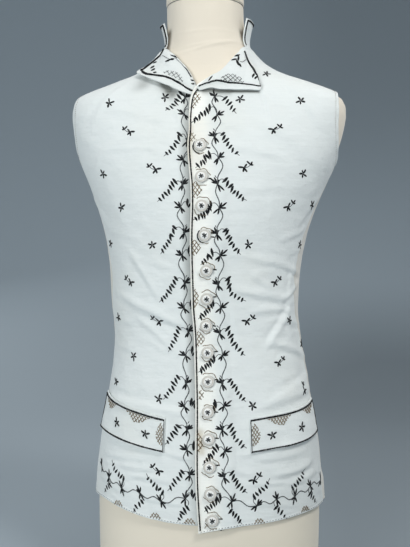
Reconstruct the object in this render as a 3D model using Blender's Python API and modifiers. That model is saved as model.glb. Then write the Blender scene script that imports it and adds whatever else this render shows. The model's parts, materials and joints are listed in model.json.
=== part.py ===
"""An embroidered waistcoat on a limbless dress form, built as its maker would cut it.

Frame: +Z up, the front faces -Y, the wearer's left is +X. The origin is the middle of the form's flat base.
Every size below is in millimetres; the meshes are written in metres.

The form is a loft of rounded sections. Each cloth panel is a sheet laid on the form's surface, a
little outside it, and given its wall by Solidify. A place on the form is an angle round it (0 at the
centre front, 90 at the wearer's left side, -90 at the right side, 180 at the centre back) and a height.
"""

import math
from collections import namedtuple

import bmesh
import bpy
from mathutils import Matrix, Vector

MM = 0.001

# ---------------------------------------------------------------- driving sizes
CLOTH = 1.8  # wall of the quilted cotton panels
LAYER_GAP = 0.8  # between cloth layers that lie on each other
LAPEL_GAP = 1.3  # between a lapel's break and its front
SEAM_GAP = 0.5  # between two panels along a seam
BUTTON_SEAT = 0.5  # from the left front up to a button's shank
COLLAR_FOOT = 2.8  # how far above the neck edge the collar starts
COLLAR_STAND = 0.2  # how far outside the panels' inner face the collar starts
FORM_SIDES = 44
FORM_HEIGHT = 940.0

# ---------------------------------------------------------------- the dress form
Section = namedtuple("Section", "height half_width front back centre squareness")
FORM = (
    Section(0, 153, 93, 101, 2, 2.3),
    Section(5, 159, 99, 107, 2, 2.3),
    Section(22, 161, 102, 110, 2, 2.3),
    Section(90, 163, 105, 114, 1, 2.3),
    Section(150, 164, 107, 117, 0, 2.3),
    Section(190, 163, 108, 118, 0, 2.3),
    Section(230, 159.5, 107, 115, 0, 2.3),
    Section(270, 154.5, 105, 108, 0, 2.3),
    Section(300, 149, 103, 100, 0, 2.3),
    Section(330, 143, 101, 92, 0, 2.3),
    Section(360, 137.5, 99, 86, 0, 2.3),
    Section(405, 133.5, 98, 82, 0, 2.3),
    Section(450, 135, 101, 85, 0, 2.3),
    Section(495, 138, 106, 92, 0, 2.3),
    Section(540, 145, 112, 100, 0, 2.3),
    Section(570, 152.5, 114.5, 105, 0, 2.35),
    Section(600, 163.5, 115, 109, 0, 2.4),
    Section(630, 176, 112.5, 111.5, 0, 2.45),
    Section(660, 188, 107.5, 111.5, 0, 2.5),
    Section(690, 197.5, 100, 109, 0, 2.6),
    Section(718, 203, 91, 104, 0, 2.7),
    Section(735, 202.5, 85, 100, 0, 2.7),
    Section(745, 197.5, 81, 97, 0, 2.65),
    Section(752, 188, 78, 94.5, 0, 2.55),
    Section(758, 175, 76, 92, 0, 2.45),
    Section(764, 160, 74, 89.5, 0, 2.4),
    Section(772, 141, 71.5, 86.5, 0, 2.3),
    Section(781, 119, 69, 83, 0, 2.2),
    Section(791, 98, 66.5, 79, 0, 2.1),
    Section(801, 82, 64, 74.5, -1, 2.05),
    Section(813, 69.5, 61.5, 69.5, -2, 2.0),
    Section(820, 65.2, 60.5, 67, -3, 2.0),
    Section(828, 61.7, 59.5, 65, -4, 2.0),
    Section(845, 58, 58.5, 61.5, -5, 2.0),
    Section(870, 57, 57.5, 59, -7, 2.0),
    Section(900, 56.5, 56.5, 57, -8, 2.0),
    Section(918, 53, 53, 53, -9, 2.0),
    Section(931, 43, 43, 43, -9, 2.0),
    Section(938, 25, 25, 25, -9, 2.0),
)


def smooth(table, column, at):
    """A column of a table at a fractional row, along a smooth curve through its rows."""
    last = len(table) - 1
    at = min(max(at, 0.0), float(last))
    row = min(int(at), last - 1)
    t = at - row
    before, low, high, after = (
        getattr(table[min(max(i, 0), last)], column) for i in range(row - 1, row + 3)
    )
    bend = 2 * before - 5 * low + 4 * high - after
    cubic = 3 * (low - high) + after - before
    return low + 0.5 * t * (high - before + t * (bend + t * cubic))


def row_at(table, height, column="height"):
    """The fractional row of a table where a rising column reaches a value."""
    low, high = 0.0, float(len(table) - 1)
    for _ in range(40):
        middle = (low + high) / 2
        if smooth(table, column, middle) < height:
            low = middle
        else:
            high = middle
    return (low + high) / 2


def ring_radius(half_width, depth, squareness, angle):
    across = abs(math.sin(angle)) / half_width
    along = abs(math.cos(angle)) / depth
    return (across**squareness + along**squareness) ** (-1.0 / squareness)


def form_point(angle, row):
    """The form's surface at an angle in radians and a fractional row of its sections."""
    depth = "front" if math.cos(angle) > 0 else "back"
    radius = ring_radius(
        smooth(FORM, "half_width", row), smooth(FORM, depth, row), smooth(FORM, "squareness", row), angle
    )
    return Vector(
        (
            radius * math.sin(angle),
            smooth(FORM, "centre", row) - radius * math.cos(angle),
            smooth(FORM, "height", row),
        )
    )


def form_normal(angle, row):
    step_round, step_up = 0.01, 0.05
    round_it = form_point(angle + step_round, row) - form_point(angle - step_round, row)
    up = form_point(angle, row + step_up) - form_point(angle, row - step_up)
    return round_it.cross(up).normalized()


def on_form(degrees, height, offset=0.0):
    """A point over the form at an angle and a height, moved out along the surface normal."""
    angle, row = math.radians(degrees), row_at(FORM, height)
    return form_point(angle, row) + form_normal(angle, row) * offset


# ---------------------------------------------------------------- cloth over the form
Ease = namedtuple("Ease", "height room")
EASE = (
    Ease(120, 4.6),
    Ease(160, 3.6),
    Ease(220, 2.6),
    Ease(320, 2.2),
    Ease(430, 2.4),
    Ease(540, 1.6),
    Ease(620, 2.2),
    Ease(670, 2.8),
    Ease(720, 2.7),
    Ease(755, 1.5),
    Ease(785, 1.9),
    Ease(815, 2.3),
    Ease(850, 2.3),
)
Fold = namedtuple("Fold", "from_degrees from_height to_degrees to_height width height")
FOLDS = (
    Fold(-64, 470, -26, 436, 13, 3.0),  # pull across the right waist
    Fold(-68, 396, -36, 366, 15, 2.6),  # soft fold over the right hip
    Fold(40, 512, 68, 488, 13, 3.6),  # pulls at the left waist
    Fold(32, 470, 60, 448, 13, 3.0),
    Fold(46, 396, 68, 366, 13, 3.2),  # forked crease above the left flap
    Fold(52, 420, 62, 396, 12, 2.4),
    Fold(34, 234, 70, 212, 13, 2.6),  # below the left flap
    Fold(-64, 236, -36, 216, 13, 2.4),
    Fold(-42, 694, -66, 640, 17, 2.2),  # from the shoulders to the underarms
    Fold(44, 694, 68, 640, 17, 2.2),
    Fold(88, 196, 91, 150, 14, 3.0),  # the hem kicks out at the left side seam
    Fold(150, 448, 206, 458, 15, 3.2),  # folds across the small of the back
    Fold(114, 482, 154, 426, 15, 3.0),
    Fold(246, 432, 206, 486, 15, 3.0),
    Fold(128, 300, 116, 180, 20, 3.4),  # flutes of the back skirt
    Fold(232, 296, 246, 176, 20, 3.4),
    Fold(176, 280, 181, 160, 20, 2.6),
)
EDGE_TURNS = 6.0  # how far past a layer's edge the layer above starts to settle, in degrees

Place = namedtuple("Place", "v degrees height")
LAPEL_FOOT = 10  # rows of a closing edge below its lapel
# the closing edge of the left front, up the break of its lapel, to the neck point
LEFT_EDGE = (
    Place(0.00, -1.9, 131),
    Place(0.12, -4.2, 203),
    Place(0.24, -4.8, 290),
    Place(0.33, -5.2, 372),
    Place(0.42, -5.9, 450),
    Place(0.50, -6.0, 530),
    Place(0.58, -5.8, 602),
    Place(0.65, -7.6, 662),
    Place(0.71, -9.3, 708),
    Place(0.75, -9.0, 736),
    Place(0.79, -4.0, 755),
    Place(0.84, 11.5, 772),
    Place(0.89, 32.0, 792),
    Place(0.94, 57.0, 818),
    Place(1.00, 90.0, 815),
)
# the closing edge of the right front, hidden by the left one, and the break of its lapel
RIGHT_EDGE = (
    Place(0.00, 15.5, 141),
    Place(0.12, 13.5, 203),
    Place(0.24, 12.5, 290),
    Place(0.33, 11.4, 372),
    Place(0.42, 10.4, 450),
    Place(0.50, 9.6, 530),
    Place(0.58, 9.0, 602),
    Place(0.65, 8.0, 662),
    Place(0.71, 7.0, 708),
    Place(0.75, 3.0, 730),
    Place(0.78, -5.0, 749),
    Place(0.81, -10.4, 764),
    Place(0.85, -18.5, 778),
    Place(0.89, -30.0, 793),
    Place(0.94, -57.0, 818),
    Place(1.00, -90.0, 815),
)
# the side seam, then the armhole's front and back edges, on the wearer's left
SIDE_FRONT = (
    Place(0.00, 84.0, 162),
    Place(0.12, 85.5, 220),
    Place(0.24, 85.5, 300),
    Place(0.33, 83.0, 372),
    Place(0.42, 76.0, 440),
    Place(0.50, 73.5, 500),
    Place(0.58, 80.0, 572),
    Place(0.65, 87.5, 630),
    Place(0.68, 89.0, 643),
    Place(0.70, 89.5, 652),
    Place(0.75, 80.5, 667),
    Place(0.80, 76.0, 692),
    Place(0.87, 75.5, 720),
    Place(0.94, 78.5, 744),
    Place(1.00, 90.0, 758.5),
)
SIDE_BACK = (
    Place(0.00, 84.0, 162),
    Place(0.12, 85.5, 220),
    Place(0.24, 85.5, 300),
    Place(0.33, 83.0, 372),
    Place(0.42, 76.0, 440),
    Place(0.50, 73.5, 500),
    Place(0.58, 80.0, 572),
    Place(0.65, 87.5, 630),
    Place(0.68, 89.0, 643),
    Place(0.70, 89.5, 652),
    Place(0.75, 98.0, 664),
    Place(0.80, 103.0, 688),
    Place(0.87, 103.5, 718),
    Place(0.94, 100.5, 744),
    Place(1.00, 90.0, 758.5),
)
Hem = namedtuple("Hem", "u height")
LEFT_HEM = (Hem(0.0, 131), Hem(0.25, 139), Hem(0.5, 144), Hem(0.75, 152), Hem(1.0, 162))
RIGHT_HEM = (Hem(0.0, 141), Hem(0.25, 142), Hem(0.5, 147), Hem(0.75, 158), Hem(1.0, 162))
BACK_HEM = 150.0
BACK_NECK = 826.0
NAPE = 25 / 30  # share of the back's centre edge that is below the neck
NECK_POINT = LEFT_EDGE[-1].height
SHOULDER_TIP = SIDE_FRONT[-1].height

FRONT_COLUMNS = (0, 0.07, 0.14, 0.21, 0.29, 0.37, 0.46, 0.55, 0.63, 0.71, 0.78, 0.85, 0.91, 0.96, 1.0)
ROWS = 30
BACK_COLUMNS = (0, 0.05, 0.1, 0.16, 0.22, 0.28, 0.34, 0.4, 0.46, 0.53, 0.61, 0.7, 0.8, 0.9, 1.0)

# ---------------------------------------------------------------- small pieces
Corner = namedtuple("Corner", "degrees height")
FLAP_RISE = 43.5
LEFT_FLAP = (Corner(33.5, 285), Corner(46, 289), Corner(58, 292), Corner(70, 297), Corner(81, 304))
RIGHT_FLAP = (Corner(-27.2, 285), Corner(-40, 290), Corner(-54, 297), Corner(-66, 303), Corner(-78, 309))
FLAP_COLUMNS = 11
FLAP_ROWS = 4

LapelStrip = namedtuple("LapelStrip", "break_degrees break_height edge_degrees edge_height")
LEFT_LAPEL = (
    LapelStrip(-6.5, 750, -3.5, 742),
    LapelStrip(-1.0, 757, 7.0, 743),
    LapelStrip(5.0, 764, 17.0, 741.5),
    LapelStrip(11.5, 771, 28.0, 741),
    LapelStrip(18.5, 778, 38.5, 740.5),
    LapelStrip(25.0, 785, 47.0, 740),
    LapelStrip(32.0, 792, 48.5, 753),
    LapelStrip(39.5, 799, 49.5, 770),
    LapelStrip(46.0, 806, 51.0, 788),
    LapelStrip(52.5, 813, 54.5, 804),
)
RIGHT_LAPEL = (
    LapelStrip(-8.0, 754, -11.5, 739.5),
    LapelStrip(-10.5, 762, -19.0, 742.5),
    LapelStrip(-14.5, 771, -28.5, 749),
    LapelStrip(-19.0, 779, -39.0, 757.5),
    LapelStrip(-25.0, 787, -51.5, 765.5),
    LapelStrip(-32.0, 794, -65.0, 776),
    LapelStrip(-40.0, 802, -65.0, 787),
    LapelStrip(-47.0, 808, -63.0, 797),
    LapelStrip(-52.5, 813, -61.0, 806),
    LapelStrip(-55.5, 816, -60.5, 811),
)
LAPEL_ROLL = 3.2  # height of the soft roll beside the break
LAPEL_LIFT = 6.5  # how far the lapel's points stand off the chest
LAPEL_ROLL_SHARE = 0.62  # share of the lapel's width that the roll takes
LAPEL_ACROSS = 6

COLLAR_OPEN = 59.0
COLLAR_TOP = 863.0
COLLAR_HALF_WIDTH = 66.5
COLLAR_FRONT = 62.0
COLLAR_BACK = 60.0
COLLAR_CENTRE = -3.0
COLLAR_COLUMNS = 30
COLLAR_ROWS = 4

BUTTON_SIDES = 14
Profile = namedtuple("Profile", "radius height")
BUTTON_PROFILE = (
    Profile(0.0, 5.4),
    Profile(4.2, 5.0),
    Profile(7.3, 4.1),
    Profile(8.4, 3.7),
    Profile(8.6, 3.0),
    Profile(8.1, 2.3),
    Profile(2.6, 1.6),
    Profile(2.4, 0.0),
    Profile(0.0, 0.0),
)
BUTTONS = (
    Corner(-0.5, 664.5),
    Corner(1.4, 622),
    Corner(2.1, 583),
    Corner(4.6, 543.5),
    Corner(6.5, 495),
    Corner(7.0, 455.5),
    Corner(5.6, 418),
    Corner(5.4, 380),
    Corner(5.0, 339.5),
    Corner(4.5, 298),
    Corner(4.9, 261),
    Corner(5.7, 223),
    Corner(6.4, 187),
    Corner(8.0, 151),
)

# ---------------------------------------------------------------- colours
Finish = namedtuple("Finish", "colour roughness")
COTTON = Finish((0.76, 0.79, 0.82), 0.85)
BACK_LINEN = Finish((0.70, 0.68, 0.60), 0.9)
JERSEY = Finish((0.72, 0.66, 0.54), 0.8)
BUTTON_CLOTH = Finish((0.68, 0.66, 0.60), 0.75)


def step(value):
    """0 to 1, easing in and out."""
    t = min(max(value, 0.0), 1.0)
    return t * t * (3 - 2 * t)


def fold_height(degrees, height):
    """How far the folds raise the cloth at a place."""
    total = 0.0
    reach = smooth(FORM, "half_width", row_at(FORM, height))
    for fold in FOLDS:
        here = degrees + 360 if fold.from_degrees > 90 and degrees < 0 else degrees
        scale = math.radians(1) * reach
        along = Vector(((fold.to_degrees - fold.from_degrees) * scale, fold.to_height - fold.from_height))
        place = Vector(((here - fold.from_degrees) * scale, height - fold.from_height))
        share = place.dot(along) / along.length_squared
        if not -0.2 < share < 1.2:
            continue
        beside = (place - along * share).length
        fade = step(share / 0.4 + 0.5) * step((1 - share) / 0.4 + 0.5)
        total += fold.height * fade * math.exp(-((beside / fold.width) ** 2))
    return total


def ease(height):
    return smooth(EASE, "room", row_at(EASE, height))


def edge_degrees(edge, height):
    """Where a closing edge runs at a height; above its lapel's foot it keeps its last place."""
    straight = edge[:LAPEL_FOOT]
    return smooth(straight, "degrees", row_at(straight, height))


def under_offset(degrees, height):
    """The inner face of a panel that lies next to the form."""
    return ease(height) + fold_height(degrees, height)


def over_offset(degrees, height):
    """The inner face of the left front, which rides over the right one's edge."""
    past = degrees - edge_degrees(RIGHT_EDGE, height)
    ride = 1 - step(past / EDGE_TURNS - 1)
    return under_offset(degrees, height) + (CLOTH + LAYER_GAP) * ride


def left_outer(degrees, height):
    return over_offset(degrees, height) + CLOTH


def right_outer(degrees, height):
    return under_offset(degrees, height) + CLOTH


def along(edge, v):
    """Degrees and fractional form row at a share of an edge's table."""
    at = row_at(edge, v, "v")
    return smooth(edge, "degrees", at), row_at(FORM, smooth(edge, "height", at))


def hem_row(hem, u):
    return row_at(FORM, smooth(hem, "height", row_at(hem, u, "u")))


def blend(first, second, share):
    return first[0] + (second[0] - first[0]) * share, first[1] + (second[1] - first[1]) * share


def coons(u, v, sides):
    """A place inside a panel from its four edges, each a function of its share."""
    left, right, bottom, top = sides
    across = blend(left(v), right(v), u)
    upright = blend(bottom(u), top(u), v)
    corners = blend(blend(left(0), right(0), u), blend(left(1), right(1), u), v)
    return across[0] + upright[0] - corners[0], across[1] + upright[1] - corners[1]


def sheet_mesh(name, columns, rows):
    """A grid of quads, points listed row by row."""
    faces = []
    for j in range(len(rows) - 1):
        for i in range(columns - 1):
            a = j * columns + i
            faces.append((a, a + 1, a + columns + 1, a + columns))
    mesh = bpy.data.meshes.new(name)
    mesh.from_pydata([p * MM for row in rows for p in row], [], faces)
    mesh.update()
    return mesh


def cloth_object(name, columns, rows, finish):
    """A sheet with the cloth's wall on its outer side."""
    return add_wall(add_object(name, sheet_mesh(name, columns, rows), finish))


def add_wall(piece):
    """The cloth's thickness, on the outer side of its inner face."""
    wall = piece.modifiers.new("wall", "SOLIDIFY")
    wall.thickness = CLOTH * MM
    wall.offset = 1.0
    wall.use_even_offset = False
    return piece


def add_object(name, mesh, finish):
    material = bpy.data.materials.get(finish_name(finish)) or make_material(finish)
    mesh.materials.append(material)
    mesh.shade_smooth()
    piece = bpy.data.objects.new(name, mesh)
    parts.objects.link(piece)
    return piece


def finish_name(finish):
    names = {COTTON: "cotton", BACK_LINEN: "back_linen", JERSEY: "jersey", BUTTON_CLOTH: "button_cloth"}
    return names[finish]


def make_material(finish):
    material = bpy.data.materials.new(finish_name(finish))
    material.use_nodes = True
    shader = material.node_tree.nodes["Principled BSDF"]
    shader.inputs["Base Color"].default_value = (*finish.colour, 1.0)
    shader.inputs["Roughness"].default_value = finish.roughness
    shader.inputs["Metallic"].default_value = 0.0
    return material


def build_form():
    """The loft of the form's sections, closed by a flat base and a small crown."""
    points, faces = [], []
    angles = [math.tau * i / FORM_SIDES for i in range(FORM_SIDES)]
    for row in range(len(FORM)):
        points.extend(form_point(angle, row) * MM for angle in angles)
    base, crown = len(points), len(points) + 1
    points.append(Vector((0.0, FORM[0].centre * MM, 0.0)))
    points.append(Vector((0.0, FORM[-1].centre * MM, FORM_HEIGHT * MM)))
    top = (len(FORM) - 1) * FORM_SIDES
    for i in range(FORM_SIDES):
        n = (i + 1) % FORM_SIDES
        for row in range(len(FORM) - 1):
            a = row * FORM_SIDES
            faces.append((a + i, a + n, a + n + FORM_SIDES, a + i + FORM_SIDES))
        faces.append((base, n, i))
        faces.append((crown, top + i, top + n))
    mesh = bpy.data.meshes.new("dress_form")
    mesh.from_pydata(points, [], faces)
    mesh.update()
    return add_object("dress_form", mesh, JERSEY)


def seam_back(place, away):
    """A place moved half a seam's gap round the form, away from the seam."""
    degrees, row = place
    return degrees + away * math.degrees(SEAM_GAP / 2 / smooth(FORM, "half_width", row)), row


def lay(place, offset):
    degrees, row = place
    angle = math.radians(degrees)
    height = smooth(FORM, "height", row)
    return form_point(angle, row) + form_normal(angle, row) * offset(degrees, height)


def mirror_place(place):
    return -place[0], place[1]


def front_sides(edge, hem, side):
    """The four edges of a front: closing edge, side, hem and shoulder seam."""

    def outer(v):
        place = seam_back(along(SIDE_FRONT, v), -1)
        return place if side > 0 else mirror_place(place)

    def bottom(u):
        return blend(along(edge, 0), outer(0), u)[0], hem_row(hem, u)

    def shoulder(u):
        return blend(along(edge, 1), outer(1), u)

    def inner(v):
        place = along(edge, v)
        pulled = seam_back((abs(place[0]), place[1]), -1)
        return (side * pulled[0], place[1]) if v > 0.97 else place

    return inner, outer, bottom, shoulder


def build_front(name, edge, hem, side, offset):
    sides = front_sides(edge, hem, side)
    rows = []
    for j in range(ROWS + 1):
        places = [coons(u, j / ROWS, sides) for u in FRONT_COLUMNS]
        points = [lay(place, offset) for place in places]
        rows.append(points if side > 0 else points[::-1])
    return cloth_object(name, len(FRONT_COLUMNS), rows, COTTON)


def back_sides():
    """The four edges of the back's left half: side and armhole, centre and neck, hem, shoulder."""

    def outer(v):
        return seam_back(along(SIDE_BACK, v), 1)

    def inner(v):
        if v <= NAPE:
            return 180.0, row_at(FORM, BACK_HEM + (BACK_NECK - BACK_HEM) * v / NAPE)
        turn = (v - NAPE) / (1 - NAPE)
        place = 180 - 90 * turn, row_at(FORM, neckline_height(180 - 90 * turn))
        return seam_back(place, 1) if v == 1 else place

    def bottom(u):
        return blend(outer(0), inner(0), u)

    def shoulder(u):
        return blend(outer(1), inner(1), u)

    return outer, inner, bottom, shoulder


def build_back():
    """Two mirrored halves of places, joined down the centre into one sheet."""
    sides = back_sides()
    joined = bmesh.new()
    for mirrored in (False, True):
        rows = []
        for j in range(ROWS + 1):
            places = [coons(u, j / ROWS, sides) for u in BACK_COLUMNS]
            if mirrored:
                places = [(360 - place[0], place[1]) for place in reversed(places)]
            rows.append([lay(place, under_offset) for place in places])
        joined.from_mesh(sheet_mesh("back_half", len(BACK_COLUMNS), rows))
    bmesh.ops.remove_doubles(joined, verts=joined.verts, dist=0.01 * MM)
    mesh = bpy.data.meshes.new("back")
    joined.to_mesh(mesh)
    joined.free()
    return add_wall(add_object("back", mesh, BACK_LINEN))


def neckline_height(degrees):
    """The height of the panels' neck edge round the neck, from one break to the other."""
    turn = abs((degrees + 180) % 360 - 180)
    if turn < 90:
        share = (turn - LEFT_EDGE[-2].degrees) / (90 - LEFT_EDGE[-2].degrees)
        return LEFT_EDGE[-2].height + (NECK_POINT - LEFT_EDGE[-2].height) * share
    return NECK_POINT + (BACK_NECK - NECK_POINT) * math.sin((turn - 90) / 90 * math.pi / 2)


def build_collar():
    """A standing band: its foot on the neck edge, its top a rounded ring."""
    rows = []
    for j in range(COLLAR_ROWS + 1):
        share = j / COLLAR_ROWS
        points = []
        for i in range(COLLAR_COLUMNS + 1):
            degrees = COLLAR_OPEN + (360 - 2 * COLLAR_OPEN) * i / COLLAR_COLUMNS
            angle = math.radians(degrees)
            foot = on_form(degrees, neckline_height(degrees) + COLLAR_FOOT, ease(BACK_NECK) + COLLAR_STAND)
            depth = COLLAR_FRONT if math.cos(angle) > 0 else COLLAR_BACK
            radius = ring_radius(COLLAR_HALF_WIDTH, depth, 2.0, angle)
            top = Vector((radius * math.sin(angle), COLLAR_CENTRE - radius * math.cos(angle), COLLAR_TOP))
            points.append(foot.lerp(top, share))
        rows.append(points)
    return cloth_object("collar", COLLAR_COLUMNS + 1, rows, COTTON)


def strip_places(strips, across, down):
    """A place on a lapel: down its break by rows, across to its edge."""
    at = down * (len(strips) - 1)
    inner = smooth(strips, "break_degrees", at), smooth(strips, "break_height", at)
    outer = smooth(strips, "edge_degrees", at), smooth(strips, "edge_height", at)
    return blend(inner, outer, across)


def build_lapel(name, strips, side, offset):
    """The turned-back top of a front, rolled at its break and standing off at its points."""
    rows = []
    for j in range(2 * len(strips) - 1):
        down = j / (2 * len(strips) - 2)
        points = []
        for i in range(LAPEL_ACROSS + 1):
            across = i / LAPEL_ACROSS
            degrees, height = strip_places(strips, across, down)
            swell = math.sqrt(math.sin(math.pi * down)) if 0 < down < 1 else 0.0
            roll = LAPEL_ROLL * math.sin(math.pi * min(across / LAPEL_ROLL_SHARE, 1.0))
            lie = offset(degrees, height) + LAPEL_GAP + (roll + LAPEL_LIFT * step(across)) * swell
            points.append(on_form(degrees, height, lie))
        rows.append(points if side > 0 else points[::-1])
    return cloth_object(name, LAPEL_ACROSS + 1, rows, COTTON)


def build_flap(name, corners, side, offset):
    """A pocket flap hanging from its slanted top edge."""
    rows = []
    for j in range(FLAP_ROWS + 1):
        drop = FLAP_RISE * (1 - j / FLAP_ROWS)
        points = []
        for i in range(FLAP_COLUMNS + 1):
            at = i / FLAP_COLUMNS * (len(corners) - 1)
            degrees, height = smooth(corners, "degrees", at), smooth(corners, "height", at) - drop
            points.append(on_form(degrees, height, offset(degrees, height) + LAYER_GAP))
        rows.append(points if side > 0 else points[::-1])
    return cloth_object(name, FLAP_COLUMNS + 1, rows, COTTON)


def button_mesh(name):
    mesh = bpy.data.meshes.new(name)
    points = [(p.radius * MM, 0.0, p.height * MM) for p in BUTTON_PROFILE]
    mesh.from_pydata(points, [(i, i + 1) for i in range(len(points) - 1)], [])
    return mesh


def build_button(number, place):
    """A domed button turned from its profile, on a short shank over the left front."""
    name = f"button_{number:02d}"
    piece = add_object(name, button_mesh(name), BUTTON_CLOTH)
    turn = piece.modifiers.new("turn", "SCREW")
    turn.steps = BUTTON_SIDES
    turn.render_steps = BUTTON_SIDES
    turn.angle = math.tau
    turn.use_merge_vertices = True
    turn.merge_threshold = 0.0001
    row = row_at(FORM, place.height)
    up = form_normal(math.radians(place.degrees), row)
    seat = on_form(place.degrees, place.height, left_outer(place.degrees, place.height) + BUTTON_SEAT)
    side = Vector((0.0, 0.0, 1.0)).cross(up).normalized()
    turned = Matrix((side, up.cross(side), up)).transposed()
    piece.matrix_world = Matrix.Translation(seat * MM) @ turned.to_4x4()
    return piece


def clear_scene():
    for item in list(bpy.data.objects):
        bpy.data.objects.remove(item, do_unlink=True)


def main():
    build_form()
    build_front("front_right", RIGHT_EDGE, RIGHT_HEM, -1, under_offset)
    build_front("front_left", LEFT_EDGE, LEFT_HEM, 1, over_offset)
    build_back()
    build_collar()
    build_lapel("lapel_left", LEFT_LAPEL, 1, left_outer)
    build_lapel("lapel_right", RIGHT_LAPEL, -1, right_outer)
    build_flap("flap_left", LEFT_FLAP, 1, left_outer)
    build_flap("flap_right", RIGHT_FLAP, -1, right_outer)
    for number, place in enumerate(BUTTONS, 1):
        build_button(number, place)


clear_scene()
parts = bpy.data.collections.new("embroidered waistcoat")
bpy.context.scene.collection.children.link(parts)
main()
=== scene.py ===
"""The looks of an embroidered waistcoat on a limbless dress form.

Frame: +Z up, the front faces -Y and the wearer's left is +X. Sizes and places are in millimetres
and degrees; the meshes are written in metres. A place on the form is an angle round it (0 at the
centre front, 90 at the wearer's left, 180 at the centre back) and a height or a row of its sections.
The embroidery is drawn flat, in millimetres on each panel, and laid on the cloth stitch by stitch.
Tables are text with a comma between rows, and name their columns just before.
"""

import json
import logging
import math
from dataclasses import dataclass
from enum import Enum
from typing import Callable, Sequence

import bpy
import numpy as np
from mathutils import Vector
from mathutils.kdtree import KDTree
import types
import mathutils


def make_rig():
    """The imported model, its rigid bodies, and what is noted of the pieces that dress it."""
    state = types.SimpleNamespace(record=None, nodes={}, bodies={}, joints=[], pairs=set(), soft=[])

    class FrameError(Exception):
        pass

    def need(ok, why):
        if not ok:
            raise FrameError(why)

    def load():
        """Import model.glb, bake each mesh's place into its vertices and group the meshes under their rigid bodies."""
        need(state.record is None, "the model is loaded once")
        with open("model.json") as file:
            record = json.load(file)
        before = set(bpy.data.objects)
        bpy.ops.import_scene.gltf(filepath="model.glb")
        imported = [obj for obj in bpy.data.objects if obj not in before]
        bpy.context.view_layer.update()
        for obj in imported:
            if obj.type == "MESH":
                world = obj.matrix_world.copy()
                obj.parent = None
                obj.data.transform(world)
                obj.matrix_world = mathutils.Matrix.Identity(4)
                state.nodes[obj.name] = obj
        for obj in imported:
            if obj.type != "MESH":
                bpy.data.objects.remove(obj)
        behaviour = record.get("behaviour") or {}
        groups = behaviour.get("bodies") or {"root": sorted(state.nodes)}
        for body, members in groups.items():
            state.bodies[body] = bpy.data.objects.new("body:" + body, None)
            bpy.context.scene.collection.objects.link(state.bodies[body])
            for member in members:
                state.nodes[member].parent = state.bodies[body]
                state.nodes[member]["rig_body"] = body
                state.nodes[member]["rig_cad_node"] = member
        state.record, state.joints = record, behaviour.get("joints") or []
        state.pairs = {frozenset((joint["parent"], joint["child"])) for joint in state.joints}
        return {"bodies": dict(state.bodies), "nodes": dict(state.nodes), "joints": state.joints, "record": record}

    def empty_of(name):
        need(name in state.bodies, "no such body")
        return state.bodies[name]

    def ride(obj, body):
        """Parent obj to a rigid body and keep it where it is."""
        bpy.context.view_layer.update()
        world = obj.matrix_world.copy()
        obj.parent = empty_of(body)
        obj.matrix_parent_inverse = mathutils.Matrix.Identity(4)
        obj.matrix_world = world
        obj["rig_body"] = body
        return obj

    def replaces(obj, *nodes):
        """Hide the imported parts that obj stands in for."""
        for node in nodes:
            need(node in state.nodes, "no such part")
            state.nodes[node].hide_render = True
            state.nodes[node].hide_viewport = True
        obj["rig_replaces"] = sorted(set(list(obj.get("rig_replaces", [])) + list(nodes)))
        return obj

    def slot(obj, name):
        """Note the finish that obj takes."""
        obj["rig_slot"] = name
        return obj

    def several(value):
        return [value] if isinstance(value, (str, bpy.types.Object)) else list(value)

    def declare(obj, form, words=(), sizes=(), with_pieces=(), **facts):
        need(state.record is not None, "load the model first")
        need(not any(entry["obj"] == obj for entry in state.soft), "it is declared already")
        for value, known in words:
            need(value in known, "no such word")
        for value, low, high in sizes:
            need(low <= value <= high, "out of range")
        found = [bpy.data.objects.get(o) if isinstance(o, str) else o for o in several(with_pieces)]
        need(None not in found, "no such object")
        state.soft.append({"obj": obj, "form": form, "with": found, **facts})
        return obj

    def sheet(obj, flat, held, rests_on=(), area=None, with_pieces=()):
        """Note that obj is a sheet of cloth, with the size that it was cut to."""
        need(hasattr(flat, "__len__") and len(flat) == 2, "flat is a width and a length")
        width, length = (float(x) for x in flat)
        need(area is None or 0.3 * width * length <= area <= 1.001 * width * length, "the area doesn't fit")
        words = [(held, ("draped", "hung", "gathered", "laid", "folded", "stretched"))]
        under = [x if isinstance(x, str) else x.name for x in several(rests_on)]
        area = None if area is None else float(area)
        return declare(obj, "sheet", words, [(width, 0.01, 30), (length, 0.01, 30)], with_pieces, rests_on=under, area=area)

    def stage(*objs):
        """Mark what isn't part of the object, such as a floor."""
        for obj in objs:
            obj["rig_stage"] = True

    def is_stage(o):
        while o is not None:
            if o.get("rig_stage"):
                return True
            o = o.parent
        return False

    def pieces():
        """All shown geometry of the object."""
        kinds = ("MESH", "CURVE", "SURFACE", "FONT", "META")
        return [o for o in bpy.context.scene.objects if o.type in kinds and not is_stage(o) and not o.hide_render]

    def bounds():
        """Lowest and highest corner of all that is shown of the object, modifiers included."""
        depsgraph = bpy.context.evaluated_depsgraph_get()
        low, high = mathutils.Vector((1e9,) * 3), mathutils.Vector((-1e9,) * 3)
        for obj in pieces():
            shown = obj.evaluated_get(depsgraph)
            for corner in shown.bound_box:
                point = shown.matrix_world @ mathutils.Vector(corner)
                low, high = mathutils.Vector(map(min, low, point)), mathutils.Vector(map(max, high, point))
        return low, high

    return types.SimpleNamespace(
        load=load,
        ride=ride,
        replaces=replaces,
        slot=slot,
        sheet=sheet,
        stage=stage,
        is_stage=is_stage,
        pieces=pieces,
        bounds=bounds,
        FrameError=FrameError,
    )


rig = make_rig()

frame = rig.load()
CAD_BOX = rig.bounds()

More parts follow.
